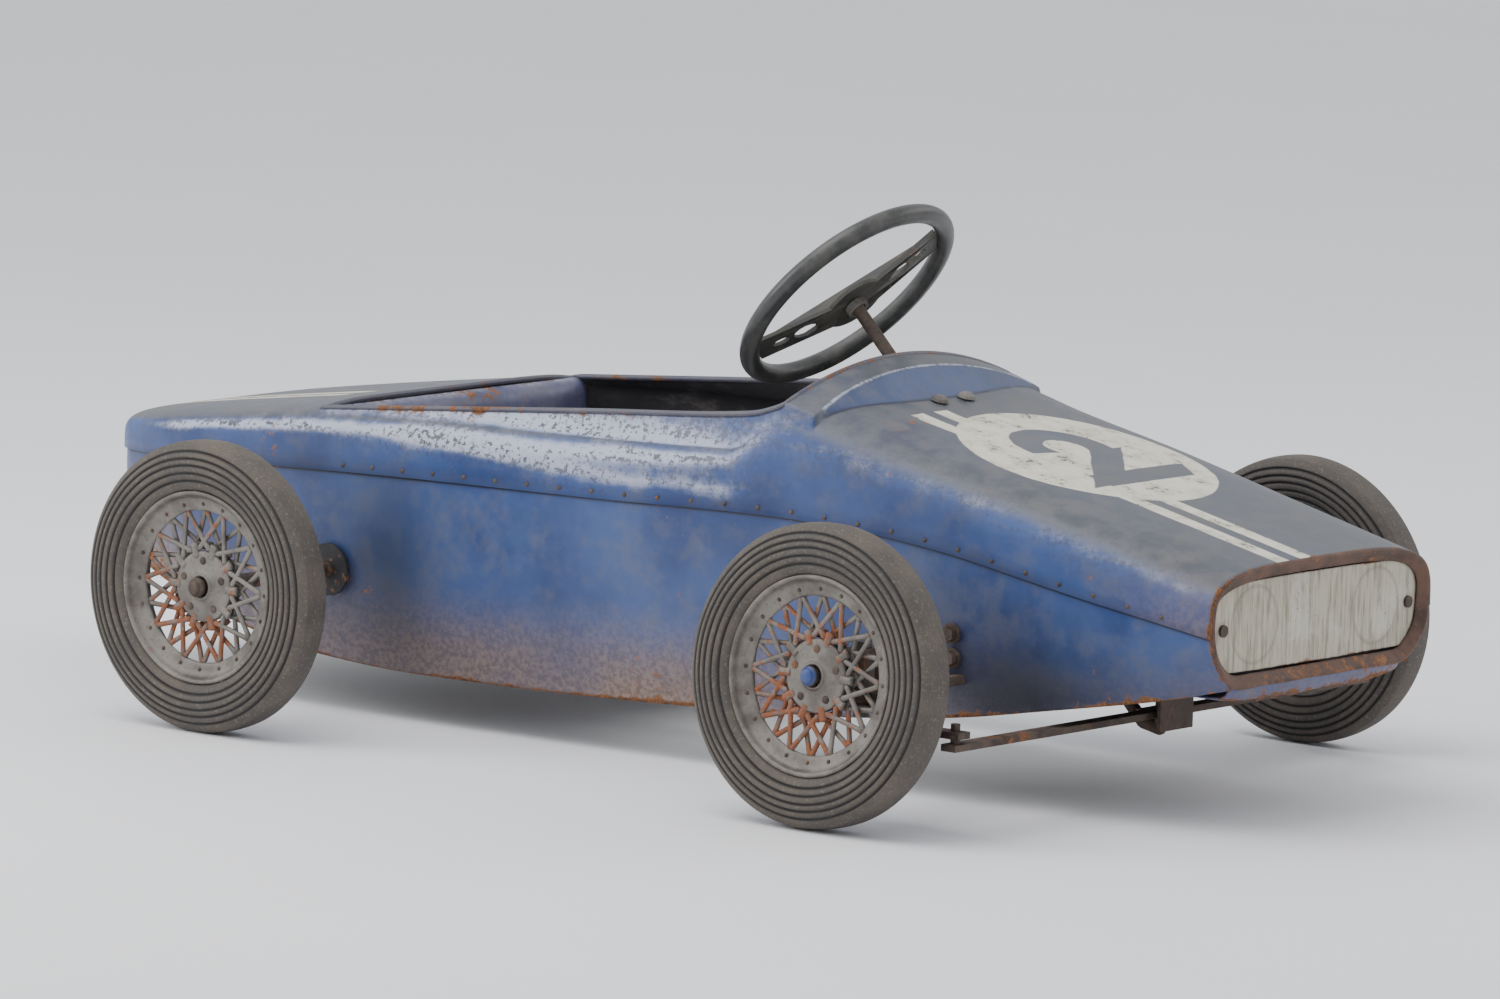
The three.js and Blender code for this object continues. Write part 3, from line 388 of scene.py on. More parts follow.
nose_x, tail_x, cockpit_front, cockpit_back, front_axle_x = 557.0, -557.0, 164.0, -276.0, 329
crown_height = smooth_through(
    (557, 195.5), (449, 221), (340, 246), (243, 266), (200, 277), (164, 284.5), (120, 253), (-21, 245),
    (-180, 239), (-276, 233.5), (-321, 228), (-371, 221.5), (-451, 210.5), (-490, 204.5), (-530, 196),
    (-549, 187), (-557, 174))
half_width = smooth_through(
    (557, 135), (500, 137.5), (329, 144), (164, 152), (-21, 165), (-171, 170), (-276, 168), (-371, 158),
    (-451, 139), (-501, 116), (-531, 90), (-547, 64), (-555, 33), (-557, 0))
seam_height = smooth_through(
    (557, 147), (509, 154.5), (449, 163.5), (392, 173), (319, 185), (254, 191.5), (164, 195), (9, 192),
    (-156, 189), (-321, 182.5), (-531, 169), (-557, 167))
lower_edge = smooth_through(
    (557, 108), (503, 95), (413, 78.5), (323, 63), (200, 50), (46, 42), (-71, 39), (-180, 38.3),
    (-279, 43), (-371, 58), (-471, 82), (-557, 108))
squareness = smooth_through((557, 4), (329, 4.5), (-21, 5), (-276, 6), (-557, 5))
rim_half_width = smooth_through((164, 138), (134, 136.5), (-21, 142), (-276, 152))
rim_height = smooth_through((164, 276), (134, 267), (-21, 253.3), (-276, 230.5))
body_gauge, seam_gap, panel_overlap = 1.6, 0.7, 9
tail_round = 57
cowl_top, cowl_arch = 303, 1.39e-3


def plan_inset(x, inset):
    """Half-width and shift along X of the plan outline moved square to itself."""
    ahead = np.minimum(x + 0.05, nose_x)
    slope = (half_width(ahead) - half_width(ahead - 0.05)) / 0.05
    stretch = np.hypot(1, slope)
    return np.maximum(half_width(x) - inset / stretch, 0), inset * slope / stretch


def section_height(x, y, inset=0.0):
    """Height of a section: a superellipse from the seam to the crown."""
    width = np.maximum(plan_inset(x, inset)[0], 1e-3)
    seam, n = seam_height(x), squareness(x)
    rise = crown_height(x) - inset - seam
    share = np.minimum(np.abs(y) / width, 1)
    return seam + rise * np.maximum(1 - share ** n, 0) ** (1 / n)


def ease(t):
    """A smooth step from 0 to 1."""
    t = np.clip(t, 0, 1)
    return t * t * (3 - 2 * t)


def cowl_rise(x, y):
    """Height of the cowl over the bonnet: an arch that stands over the cockpit's front
    edge, falls down a crescent face between two arcs, and then fades out."""
    arch = cowl_top - cowl_arch * y * y
    over = np.maximum(arch - section_height(np.full_like(x, cockpit_front), y), 0)
    brow, foot = crescent(y)[:2]
    down = np.clip((x - brow) / (foot - brow), 0, 1)
    crown = 1 - 0.2 * np.clip((x - cockpit_front) / (brow - cockpit_front), 0, 1)
    return over * crown * (1 - 0.7 * down - 0.3 * ease(down))


def crescent(y):
    """The two arcs that bound the cowl's face, as X at each Y, and how far inside
    their points a place is, from 0 to 1."""
    inside_points = np.clip(1 - (y / 128) ** 2, 0, 1)
    return 191 - 8 * inside_points, 193 + 15 * inside_points, inside_points


def make_mesh(name, points, keep=None, values=None, wrap_rows=False, wrap_columns=False):
    """A mesh object from a grid of points in millimetres. Cells where keep is false
    are left open; wrapping joins the last row or column to the first."""
    rows, columns = points.shape[:2]
    row_cells, column_cells = rows - (not wrap_rows), columns - (not wrap_columns)
    i, j = np.meshgrid(np.arange(row_cells), np.arange(column_cells), indexing="ij")
    down, along = (i + 1) % rows, (j + 1) % columns
    quads = np.stack([i * columns + j, down * columns + j, down * columns + along, i * columns + along], -1)
    quads = quads[keep] if keep is not None else quads.reshape(-1, 4)
    used, quads = np.unique(quads, return_inverse=True)
    quads = quads.reshape(-1, 4)
    flat = points.reshape(-1, 3)[used] / 1000
    mesh = bpy.data.meshes.new(name)
    mesh.vertices.add(len(flat))
    mesh.vertices.foreach_set("co", flat.astype(np.float32).ravel())
    mesh.loops.add(quads.size)
    mesh.loops.foreach_set("vertex_index", quads.astype(np.int32).ravel())
    mesh.polygons.add(len(quads))
    mesh.polygons.foreach_set("loop_start", np.arange(0, quads.size, 4, dtype=np.int32))
    mesh.update(calc_edges=True)
    mesh.validate()
    mesh.shade_smooth()
    for label, value in (values or {}).items():
        data = mesh.attributes.new(label, "FLOAT", "POINT").data
        if len(data) == len(used):
            spread_out = np.broadcast_to(value, points.shape[:2]).reshape(-1)
            data.foreach_set("value", spread_out[used].astype(np.float32))
    piece = bpy.data.objects.new(name, mesh)
    bpy.context.scene.collection.objects.link(piece)
    return piece


def thicken(piece, gauge, offset=-1.0):
    """Gives a sheet its thickness in millimetres, inwards from its outer face."""
    solid = piece.modifiers.new("gauge", "SOLIDIFY")
    solid.thickness = gauge / 1000
    solid.offset = offset
    return piece


def finish_piece(piece, material, body, slot, *nodes):
    """Gives a piece its material, its body and the nodes it stands for; the slot is not used."""
    piece.data.materials.append(material)
    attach(piece, body)
    if nodes:
        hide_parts(*nodes)
    return piece


def shell_points(x):
    """Half sections of the shell at each x, from the middle to the seam: flat columns
    to the rim line, a few up the coaming, and the shoulder down to the seam."""
    width, n = half_width(x), squareness(x)
    rim_y = np.minimum(rim_half_width(x), width * 0.9)
    open_here = (x < cockpit_front - 0.01) & (x > cockpit_back + 0.01)
    columns = []
    for k in np.linspace(0, 1, 41):
        y = rim_y * k
        columns.append((y, section_height(x, y) + np.where(x > cockpit_front - 0.01, cowl_rise(x, y), 0)))
    rim_z = np.where(open_here, rim_height(x), columns[-1][1])
    columns[-1] = (rim_y, rim_z)
    extra = rim_z - section_height(x, rim_y)
    crease_y = rim_y + 0.42 * (width - rim_y) * np.where(open_here, 1, 0.8)
    for s in np.linspace(0, 1, 8)[1:]:
        y = rim_y + (crease_y - rim_y) * s
        columns.append((y, section_height(x, y) + extra * (1 - s) ** 1.7))
    start = np.arcsin(np.clip(np.where(width > 0, crease_y / np.maximum(width, 1e-6), 0), 0, 1) ** (n / 2))
    for s in np.linspace(0, 1, 30)[1:]:
        angle = start + (math.pi / 2 - start) * s ** 1.3
        y = width * np.sin(angle) ** (2 / n) if s < 1 else width
        columns.append((y, section_height(x, y) if s < 1 else seam_height(x)))
    return (np.stack([c[k] for c in columns], 1) for k in (0, 1))


shell_x = np.concatenate([
    np.linspace(nose_x, 262, 70), np.linspace(260, cockpit_front, 100), np.linspace(160, -272, 110),
    np.linspace(cockpit_back, tail_x + tail_round, 60),
    tail_x + tail_round * (1 - np.sin(np.linspace(0.03, math.pi / 2, 36)))])
half_y, half_z = shell_points(shell_x)
middle_columns = 40
side_y = np.concatenate([-half_y[:, :0:-1], half_y], 1)
side_z = np.concatenate([half_z[:, :0:-1], half_z], 1)
shell_grid = np.stack([np.broadcast_to(shell_x[:, None], side_y.shape), side_y, side_z], -1)
centre_column = half_y.shape[1] - 1
row_middle = (shell_x[:-1] + shell_x[1:]) / 2
cell_column = np.abs(np.arange(side_y.shape[1] - 1) + 0.5 - centre_column)
cut_rows = (row_middle < cockpit_front) & (row_middle > cockpit_back)
shell_keep = ~(cut_rows[:, None] & (cell_column < middle_columns)[None, :])
column_number = np.abs(np.arange(side_y.shape[1]) - centre_column)
along_x = shell_grid[..., 0]
slope_up = np.gradient(side_z, axis=1) / np.maximum(np.abs(np.gradient(side_y, axis=1)), 1e-3)
facing_up = 1 / np.sqrt(1 + slope_up ** 2)
from_seam = side_z - seam_height(shell_x)[:, None]
# Shoulder wear: partly worn paint and partly a painted highlight where the curve turns up to the light.
shoulder = np.exp(-((facing_up - 0.50) / 0.36) ** 2) * (from_seam > 6)
beside_cut = np.append(cut_rows, cut_rows[-1])[:, None]
rim_near = np.exp(-np.abs(column_number - middle_columns)[None, :] / 1.6) * beside_cut
brow, foot, inside_points = crescent(side_y)
whole = ease(inside_points / 0.06)
# A painted highlight along the brow of the cowl's crescent, and painted shade in the crease at its foot.
brow_highlight = whole * np.exp(-((along_x - brow) / 1.6) ** 2)
foot_crease_shade = whole * np.exp(-((along_x - foot - 0.6) / 1.5) ** 2)
on_face = whole * ease((along_x - brow) / 2) * (1 - ease((along_x - foot) / 2))
bonnet = ease((along_x - 60) / 100)
# A painted highlight: a pale band low on the shoulder beside the cockpit, put into the wear value.
highlight_band_height = 15 + 16 * ease((60 - along_x) / 220)
shoulder_highlight_band = 0.62 * np.exp(-((from_seam - highlight_band_height) / 9) ** 2)
shoulder_highlight_band *= ease((175 - along_x) / 60) * ease((along_x + 230) / 90)
shell_values = {
    "top": ease((facing_up - 0.72 + 0.34 * bonnet) / (0.2 + 0.3 * bonnet)) * (1 - 0.6 * on_face),
    "wear_and_highlight": np.clip(shoulder * (0.5 + 0.5 * ease((200 - along_x) / 160)) * ease((along_x + 520) / 120)
                    + 0.75 * brow_highlight + shoulder_highlight_band, 0, 1),
    "grime": 0.5 * ease((along_x - 430) / 120) * (1 - ease((from_seam - 2) / 50)),
    "darkening_and_shade": 0.8 * foot_crease_shade,
    "edge": np.clip(np.exp(-np.abs(nose_x - along_x) / 3.5) + 0.75 * rim_near
                    + 0.8 * np.exp(-np.abs(along_x - cockpit_front) / 2.2) * (column_number < middle_columns)
                    + 0.25 * np.exp(-np.abs(from_seam - 4) / 3), 0, 1)}
shell = make_mesh("pressed_shell", shell_grid[:, ::-1], shell_keep[:, ::-1],
                  {label: value[:, ::-1] for label, value in shell_values.items()})
thicken(shell, body_gauge)
finish_piece(shell, marked_blue, "body", "blue_paint", "upper_shell")


# ---------------- side panels
# One long pressing down each side, tucked up behind the shell and spot welded,
# drawn in towards its foot, with a thin turned lip along the bottom.
tuck_in = smooth_through((557, 26), (503, 16), (413, 9), (323, 7), (-21, 14), (-279, 12), (-557, 6))


def panel_top(x):
    """Height of a panel's hidden upper edge."""
    return seam_height(x) + np.minimum(panel_overlap, 0.2 * (crown_height(x) - seam_height(x)))


def panel_points(x, share, side):
    """Points of a side panel: share runs from 0 behind the shell to 1 at the foot."""
    seam, bottom, top = seam_height(x), lower_edge(x), panel_top(x)
    z = top + (bottom - top) * share
    down = np.maximum((seam - z) / (seam - bottom), 0)
    width, shift = plan_inset(x, body_gauge + seam_gap)
    tuck = np.minimum(tuck_in(x), width / 2) * down ** 2.2
    ripple = 0.35 * np.sin(x / 47) * np.sin(z / 23) + 0.25 * np.sin(x / 19 + z / 31)
    y = side * np.maximum(width - tuck + ripple * down * (1 - down) * 4, 0.2)
    return np.stack([x + shift, y, z], -1)


panel_x = np.concatenate([
    np.linspace(nose_x - 0.5, tail_x + tail_round, 260),
    tail_x + tail_round * (1 - np.sin(np.linspace(0.05, math.pi / 2, 36)))])
below_seam = np.array([8.0, 4, 1.5, 0.6, 0.0, -0.6, -1.2, -1.8, -2.6, -4.0, -7.0])
panel_rest = np.linspace(0, 1, 42)[1:]
for name, side in (("right", -1), ("left", 1)):
    top = panel_top(panel_x)
    near = np.minimum(seam_height(panel_x)[:, None] + below_seam, top[:, None])
    share = (top[:, None] - near) / (top - lower_edge(panel_x))[:, None]
    share = np.concatenate([share, share[:, -1:] + (1 - share[:, -1:]) * panel_rest], 1)
    x = np.broadcast_to(panel_x[:, None], share.shape)
    grid = panel_points(x, share, side)
    z = grid[..., 2]
    above = z - lower_edge(x)
    lip = np.exp(-above / 2.5)
    grid[..., 1] += side * 1.6 * np.exp(-(above / 2.2) ** 2)
    front = np.exp(-((x - front_axle_x) / 60) ** 2) * ease((150 - z) / 40)
    values = {
        "top": 0.12 * ease((seam_height(x) - z) / 20) + 0 * x,
        "wear_and_highlight": 0.5 * lip + 0.15 * np.exp(-np.abs(z - seam_height(x)) / 6),
        "grime": np.clip(ease((84 - above) / 84) * ease((240 - x) / 120) + 0.25 * front
                         + 0.28 * ease((40 - above) / 40) * ease((x - 200) / 60), 0, 1),
        # Darkening: a black seam line, darker round the front axle and low towards the nose, and painted
        # shadow beside the rear wheel.
        "darkening_and_shade": np.clip(0.92 * np.exp(-((z - seam_height(x) + 0.8) / 1.1) ** 2)
                        + 0.55 * np.exp(-((x - 385) / 70) ** 2 - ((z - 92) / 45) ** 2)
                        # Painted shadow on the panel beside the rear wheel.
                        + 0.60 * np.exp(-((x + 190) / 42) ** 2 - ((z - 110) / 80) ** 2)
                        + 0.32 * ease((140 - z) / 60) * ease((x - 300) / 60), 0, 0.92),
        "edge": np.clip(0.8 * lip + np.exp(-np.abs(nose_x - x) / 4)
                        + 0.2 * np.exp(-np.abs(z - seam_height(x)) / 2), 0, 1)}
    if side > 0:
        grid = grid[:, ::-1]
        values = {label: value[:, ::-1] for label, value in values.items()}
    panel = make_mesh(f"pressed_side_{name}", grid, None, values)
    thicken(panel, body_gauge)
    finish_piece(panel, plain_blue, "body", "blue_paint", f"side_panel_{name}")


# ---------------- dark inside
# The inside of the body was never painted blue: dark primer, scuffed and rusty.
inside, tree, shader, where = new_material("dark_inside")
scuffs = noise(tree, where, 70, 6, 0.7, (0.4, 1, 1))
rust = use_group(tree, rust_group, Vector=where, Push=0.045)
colour = mottle(tree, scuffs, 0.5, 0.75, (0.018, 0.018, 0.020), (0.10, 0.09, 0.085))
dress(tree, shader, blend_colours(tree, rust["Mask"], colour, rust["Colour"]),
      spread(tree, scuffs, 0.3, 0.7, 0.45, 0.75))
roughen(tree, shader, maths(tree, "ADD", scuffs, rust["Height"]), 0.3)
for name in ("pressed_shell", "pressed_side_right", "pressed_side_left"):
    piece = bpy.data.objects[name]
    piece.data.materials.append(inside)
    piece.modifiers["gauge"].material_offset = 1


# ---------------- rolled edges
# The cockpit's edge is rolled over a wire, and the nose ends in a rusty return
# flange that the grille plate sits behind.
def even_turn(count):
    """Angles spaced evenly once round."""
    return np.linspace(0, 2 * math.pi, count, endpoint=False)


def reach_along(path):
    """Distance along a path to each of its points."""
    return np.concatenate([[0], np.cumsum(np.linalg.norm(np.diff(path, axis=0), axis=1))])


def even_loop(corners, count, soften=6):
    """A closed path through the corners, evenly spaced, its corners softened by a
    moving average taken several times."""
    closed = np.vstack([corners, corners[:1]])
    reach = reach_along(closed)
    at = np.linspace(0, reach[-1], count, endpoint=False)
    path = np.stack([np.interp(at, reach, closed[:, k]) for k in range(3)], 1)
    for _ in range(soften):
        path = (np.roll(path, 1, 0) + 2 * path + np.roll(path, -1, 0)) / 4
    return path


def loop_sides(path, upward):
    """For each point of a closed path, the unit direction across it and square to
    the upward direction."""
    ahead = np.roll(path, -1, 0) - np.roll(path, 1, 0)
    across = np.cross(ahead, upward)
    return across / np.linalg.norm(across, axis=1, keepdims=True)


rim_x = np.linspace(cockpit_front, cockpit_back, 120)
rear_y = np.linspace(-152, 152, 60)
front_y = np.linspace(138, -138, 60)
front_x, rear_x = np.full_like(front_y, cockpit_front), np.full_like(rear_y, cockpit_back)
right_rim = np.stack([rim_x, -rim_half_width(rim_x), rim_height(rim_x)], 1)
rear_rim = np.stack([rear_x, rear_y, section_height(rear_x, rear_y)], 1)
left_rim = right_rim[::-1] * np.array([1, -1, 1])
front_rim = np.stack([front_x, front_y, section_height(front_x, front_y) + cowl_rise(front_x, front_y)], 1)
rim_path = even_loop(np.vstack([right_rim, rear_rim[1:-1], left_rim, front_rim[1:-1]]), 520)
across = loop_sides(rim_path, np.array([0.0, 0, 1]))
turn = even_turn(12)[None, :, None]
rolled = (rim_path[:, None] + np.array([0, 0, -0.6])
          + 2.3 * np.cos(turn) * across[:, None] + 2.3 * np.sin(turn) * np.array([0, 0, 1.0]))
bead = make_mesh("cockpit_rolled_edge", rolled, None,
                 {"top": 0.75, "wear_and_highlight": 0.35, "grime": 0.25, "edge": 0.34, "darkening_and_shade": 0.15}, True, True)
finish_piece(bead, plain_blue, "body", "blue_paint")

lip_y = np.linspace(-134.6, 134.6, 160)
lip_x = np.full_like(lip_y, nose_x)
lip_top = np.stack([lip_x, lip_y, section_height(lip_x, lip_y)], 1)
lip_side = panel_points(np.full(30, nose_x), np.linspace(0.15, 1, 30), 1)
lip_bottom_y = np.linspace(lip_side[-1, 1] - 4, 4 - lip_side[-1, 1], 40)
lip_bottom = np.stack([np.full(40, nose_x), lip_bottom_y, np.full(40, 107.5)], 1)
other_side = (lip_side * np.array([1, -1, 1]))[::-1]
lip_path = even_loop(np.vstack([lip_top, lip_side, lip_bottom, other_side]), 420, 40)
lip_path[:, 0] = 0
inward = -loop_sides(lip_path, np.array([1.0, 0, 0]))
centre_of_lip = lip_path.mean(0)
inward *= np.sign(np.einsum("ij,ij->i", inward, centre_of_lip - lip_path).mean())
lip_profile = np.array([
    (552, -0.2), (556, -0.5), (557.8, 0.6), (558.2, 2.0), (557.2, 3.6), (555.4, 5.4), (553.6, 7.8),
    (552.6, 9.6), (551.4, 9.6), (552.2, 7.4), (554, 4.8), (555.6, 2.6), (554.8, 1.2), (552, 1.0)])
lip_grid = lip_path[:, None] + inward[:, None] * lip_profile[None, :, 1:]
dents = 0.25 * np.sin(lip_path[:, 1:2] / 9) + 0.2 * np.sin(lip_path[:, 2:3] / 5)
lip_grid[..., 0] = lip_profile[:, 0] + dents
lip = make_mesh("nose_return_flange", lip_grid, None, None, True, True)


# ---------------- rusty steel
# Axles, rods, strap and the nose flange: bare or long-lost paint, now an even dark
# brown with orange blooms, greasy where parts move. The rear bushes take the dark
# inside material as painted shade, for they sit in shadow.
def make_rusty(name, push, dark, pale):
    """Rusted steel between two base browns, with blooms pushed on by a number."""
    material, tree, shader, where = new_material(name)
    patches, fine = noise(tree, where, 40, 6, 0.65), noise(tree, where, 300, 5, 0.7)
    base = mottle(tree, patches, 0.35, 0.65, dark, pale)
    rust = use_group(tree, rust_group, Vector=where, Push=push)
    colour = blend_colours(tree, rust["Mask"], base, rust["Colour"])
    colour = blend_colours(tree, spread(tree, fine, 0.58, 0.72, 0, 0.5), colour, (0.19, 0.17, 0.155))
    dress(tree, shader, colour, spread(tree, patches, 0.3, 0.7, 0.5, 0.85),
          spread(tree, patches, 0.3, 0.6, 0.55, 0.15))
    roughen(tree, shader, weighted(tree, (fine, 0.7), (patches, 1)), 0.5)
    return material


rusty = make_rusty("rusty_steel", 0.07, (0.055, 0.038, 0.030), (0.125, 0.090, 0.070))
dull_steel = make_rusty("dull_steel", -0.01, (0.10, 0.09, 0.08), (0.23, 0.21, 0.19))
lip_rust = make_rusty("lip_rust", 0.10, (0.075, 0.045, 0.034), (0.15, 0.085, 0.060))
finish_piece(lip, lip_rust, "body", "rusty_steel")


def paint_node(label, material):
    """Assigns a material to every slot of a frame node."""
    for place_for_material in frame["nodes"][label].material_slots:
        place_for_material.material = material


for subpart in frame["record"]["subparts"]:
    label, slot = subpart["node"], subpart["material_slot"]
    # Painted shade: the rear bushes sit in shadow, so they take the dark inside material.
    if label.startswith("rear_bush"):
        paint_node(label, inside)
    elif slot in ("rusty_steel", "bare_steel"):
        paint_node(label, rusty if slot == "rusty_steel" else dull_steel)


# ---------------- grille plate
# A flat plate behind the nose flange, painted cream and gone streaky, stamped
# with a shallow ring at each end where a headlamp would be.
cream_plate, tree, shader, where = new_material("streaky_cream")
m = lambda *a: maths(tree, *a)
split = tree.nodes.new("ShaderNodeSeparateXYZ")
tree.links.new(where, split.inputs[0])
streaks = noise(tree, where, 60, 6, 0.7, (1, 4.0, 0.35))
blotches, fine = noise(tree, where, 26, 5, 0.6), noise(tree, where, 300, 5, 0.75)
from_middle = m("SUBTRACT", m("MULTIPLY", m("ABSOLUTE", split.outputs["Y"]), 1000), 74)
height_off = m("SUBTRACT", m("MULTIPLY", split.outputs["Z"], 1000), 152)
ring_distance = m("SQRT", m("ADD", m("MULTIPLY", from_middle, from_middle),
                            m("MULTIPLY", height_off, height_off)))
ring = spread(tree, m("ABSOLUTE", m("SUBTRACT", ring_distance, 27.5)), 2.2, 0.0)
colour = mottle(tree, streaks, 0.42, 0.66, (0.46, 0.42, 0.33), (0.25, 0.22, 0.165))
colour = blend_colours(tree, spread(tree, blotches, 0.5, 0.75, 0, 0.6), colour, (0.62, 0.60, 0.52))
colour = blend_colours(tree, m("MULTIPLY", ring, 0.35), colour, (0.20, 0.18, 0.13))
specks = spread(tree, weighted(tree, (fine, 0.7), (blotches, 0.3)), 0.62, 0.66)
colour = blend_colours(tree, specks, colour, (0.13, 0.085, 0.055))
rust = use_group(tree, rust_group, Vector=where, Push=m("MULTIPLY", attribute(tree, "edge"), 0.17))
dress(tree, shader, blend_colours(tree, rust["Mask"], colour, rust["Colour"]),
      spread(tree, streaks, 0.3, 0.7, 0.5, 0.8))
roughen(tree, shader, weighted(tree, (ring, 2.0), (streaks, 0.6), (fine, 1)), 0.6)

plate_low, plate_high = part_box("grille_plate")
half_y, bottom, top = plate_high.y * 1000, plate_low.z * 1000, plate_high.z * 1000
angle = even_turn(240)
mid_z, half_z = (bottom + top) / 2, (top - bottom) / 2
corner = 29.0
far = 400
corner_y = np.clip(np.cos(angle) * far, -(half_y - corner), half_y - corner)
corner_z = np.clip(np.sin(angle) * far, -(half_z - corner), half_z - corner)
outline_y, outline_z = corner_y + corner * np.cos(angle), mid_z + corner_z + corner * np.sin(angle)
ring_share = np.linspace(0.004, 1, 34)[:, None]
plate_y = ring_share * outline_y
plate_grid = np.stack([plate_high.x * 1000 + 0.3 * np.sin(plate_y / 13), plate_y,
                       mid_z + ring_share * (outline_z - mid_z)], -1)
plate = make_mesh("stamped_grille_plate", plate_grid, None,
                  {"edge": np.exp(-(1 - ring_share) * 26)}, False, True)


def close_poles(piece, reach=2e-4):
    """Joins the points of each collapsed end ring into one."""
    import bmesh
    shape = bmesh.new()
    shape.from_mesh(piece.data)
    bmesh.ops.remove_doubles(shape, verts=shape.verts, dist=reach)
    bmesh.ops.recalc_face_normals(shape, faces=shape.faces)
    shape.to_mesh(piece.data)
    shape.free()
    piece.data.shade_smooth()


thicken(plate, body_gauge)
finish_piece(plate, cream_plate, "body", "cream_paint", "grille_plate")

# The apron under the grille: a narrow blue strip rolled under into a rusty tray.
def bent_sheet(profile, at):
    """X and Z, as columns, at distances along a bent sheet's profile."""
    profile = np.array(profile, float)
    return (np.interp(at, reach_along(profile), profile[:, k])[:, None] for k in (0, 1))


apron_profile = [(555.5, 110.5), (556.2, 108), (555.8, 104), (553.5, 100.2), (549, 98.2), (540, 97.4),
                 (505, 97.2), (470, 97)]
apron_length = reach_along(np.array(apron_profile, float))[-1]
apron_at = np.concatenate([np.linspace(0, 16, 24), np.linspace(17, apron_length, 20)])
apron_x, apron_z = bent_sheet(apron_profile, apron_at)
apron_half, apron_fold = 104, 14
apron_y = np.linspace(-apron_half, apron_half, 90)
to_end = (np.abs(apron_y) / apron_half) ** 6
apron_grid = np.stack([apron_x - 5.0 * to_end, apron_y + 0 * apron_x,
                       apron_z + 3.0 * to_end + 0.5 * np.sin(apron_y / 11)], -1)
past_fold = (apron_at - apron_fold)[:, None]
apron = make_mesh("nose_apron", apron_grid, None, {
    "top": 0.1, "wear_and_highlight": 0.4, "grime": 0.35,
    "edge": np.clip(np.exp(-np.abs(past_fold) / 5) + 0.3 * (past_fold > 0), 0, 1)})
thicken(apron, body_gauge, 1.0)
finish_piece(apron, plain_blue, "body", "blue_paint", "nose_valance")


# ---------------- seat
# One bent sheet: a short upright back under the deck's edge and a flat pan.
seat_profile = [(-275, 228.5), (-268, 227.6), (-263.5, 222), (-262, 214), (-260.4, 190), (-259.5, 180),
                (-256, 170.5), (-249, 166.8), (-242, 166), (-160, 163.6), (-72, 161), (-63, 160.3),
                (-57, 158.8), (-55, 157)]
seat_at = np.linspace(0, reach_along(np.array(seat_profile, float))[-1], 120)
seat_x, seat_z = bent_sheet(seat_profile, seat_at)
for line in (seat_x, seat_z):
    for _ in range(4):
        line[1:-1] = (line[:-2] + 2 * line[1:-1] + line[2:]) / 4
seat_y = np.linspace(-148.5, 148.5, 60)
from_top = seat_at[:, None]
seat_grid = np.stack([seat_x + 0 * seat_y, 0 * seat_x + seat_y,
                      seat_z + 0.5 * np.sin(seat_y / 30) * (from_top > 20)], -1)
seat = make_mesh("seat_pressing", seat_grid, None, {
    "top": 0.15, "wear_and_highlight": 0.9 * np.exp(-from_top / 14) + 0.5 * (from_top > 70),
    "grime": 0.35 + 0.3 * (from_top > 50), "edge": 0.22 * np.exp(-from_top / 8)})
thicken(seat, body_gauge, 1.0)
finish_piece(seat, plain_blue, "body", "blue_paint", "seat")


# ---------------- seam rivets
# Small rivets hold the shell down on the side panels.
def make_domes(name, centres, outward, radius, height):
    """Low domes at points in millimetres, each raised along its outward direction."""
    outward = outward / np.linalg.norm(outward, axis=1, keepdims=True)
    helper = np.where(np.abs(outward[:, :1]) > 0.9, np.array([[0, 1.0, 0]]), np.array([[1.0, 0, 0]]))
    first = np.cross(outward, helper)
    first /= np.linalg.norm(first, axis=1, keepdims=True)
    second = np.cross(outward, first)
    tilt = np.linspace(0.02, math.pi / 2, 5)[:, None]
    turn = even_turn(10)[None, :]
    across, lifted = radius * np.sin(tilt), height * np.cos(tilt)
    rings = [centre + (across * np.cos(turn))[..., None] * a + (across * np.sin(turn))[..., None] * b
             + (lifted + 0 * turn)[..., None] * c for centre, a, b, c in zip(centres, first, second, outward)]
    return make_many(name, rings)


def make_many(name, grids):
    """One mesh from many grids whose columns wrap round, with their poles closed."""
    rows, columns = grids[0].shape[:2]
    keep = np.ones((rows * len(grids) - 1, columns), bool)
    keep[rows - 1::rows] = False
    piece = make_mesh(name, np.concatenate(grids), keep, None, False, True)
    close_poles(piece)
    return piece


rivet_x = np.arange(-236.0, 530, 30)
for side, name in ((-1, "right"), (1, "left")):
    spots = np.stack([rivet_x, side * (half_width(rivet_x) - 0.1), seam_height(rivet_x) + 5], 1)
    rivets = make_domes(f"seam_rivets_{name}", spots, np.tile([0, side, 0.05], (len(spots), 1)), 2.0, 1.2)
    finish_piece(rivets, rusty, "body", "rusty_steel")


# ---------------- tyres
# Solid rubber, five moulded ribs on each sidewall, greyed with dust, with painted
# shade darkening the grooves, and a worn plain tread.
rubber, tree, shader, where = new_material("dusty_rubber")
groove_shade = attribute(tree, "groove_shade")
patches, fine = noise(tree, where, 30, 6, 0.65), noise(tree, where, 420, 5, 0.75)
colour = mottle(tree, patches, 0.35, 0.68, (0.064, 0.054, 0.045), (0.112, 0.093, 0.076))
colour = blend_colours(tree, spread(tree, fine, 0.54, 0.66, 0, 0.6), colour, (0.20, 0.175, 0.15))
# Painted shade: near black down in the grooves and round the tyre's inner face against the rim.
colour = blend_colours(tree, groove_shade, colour, (0.010, 0.009, 0.009))
dress(tree, shader, colour, spread(tree, patches, 0.3, 0.7, 0.62, 0.9))
roughen(tree, shader, weighted(tree, (fine, 0.8), (patches, 1)), 0.35)

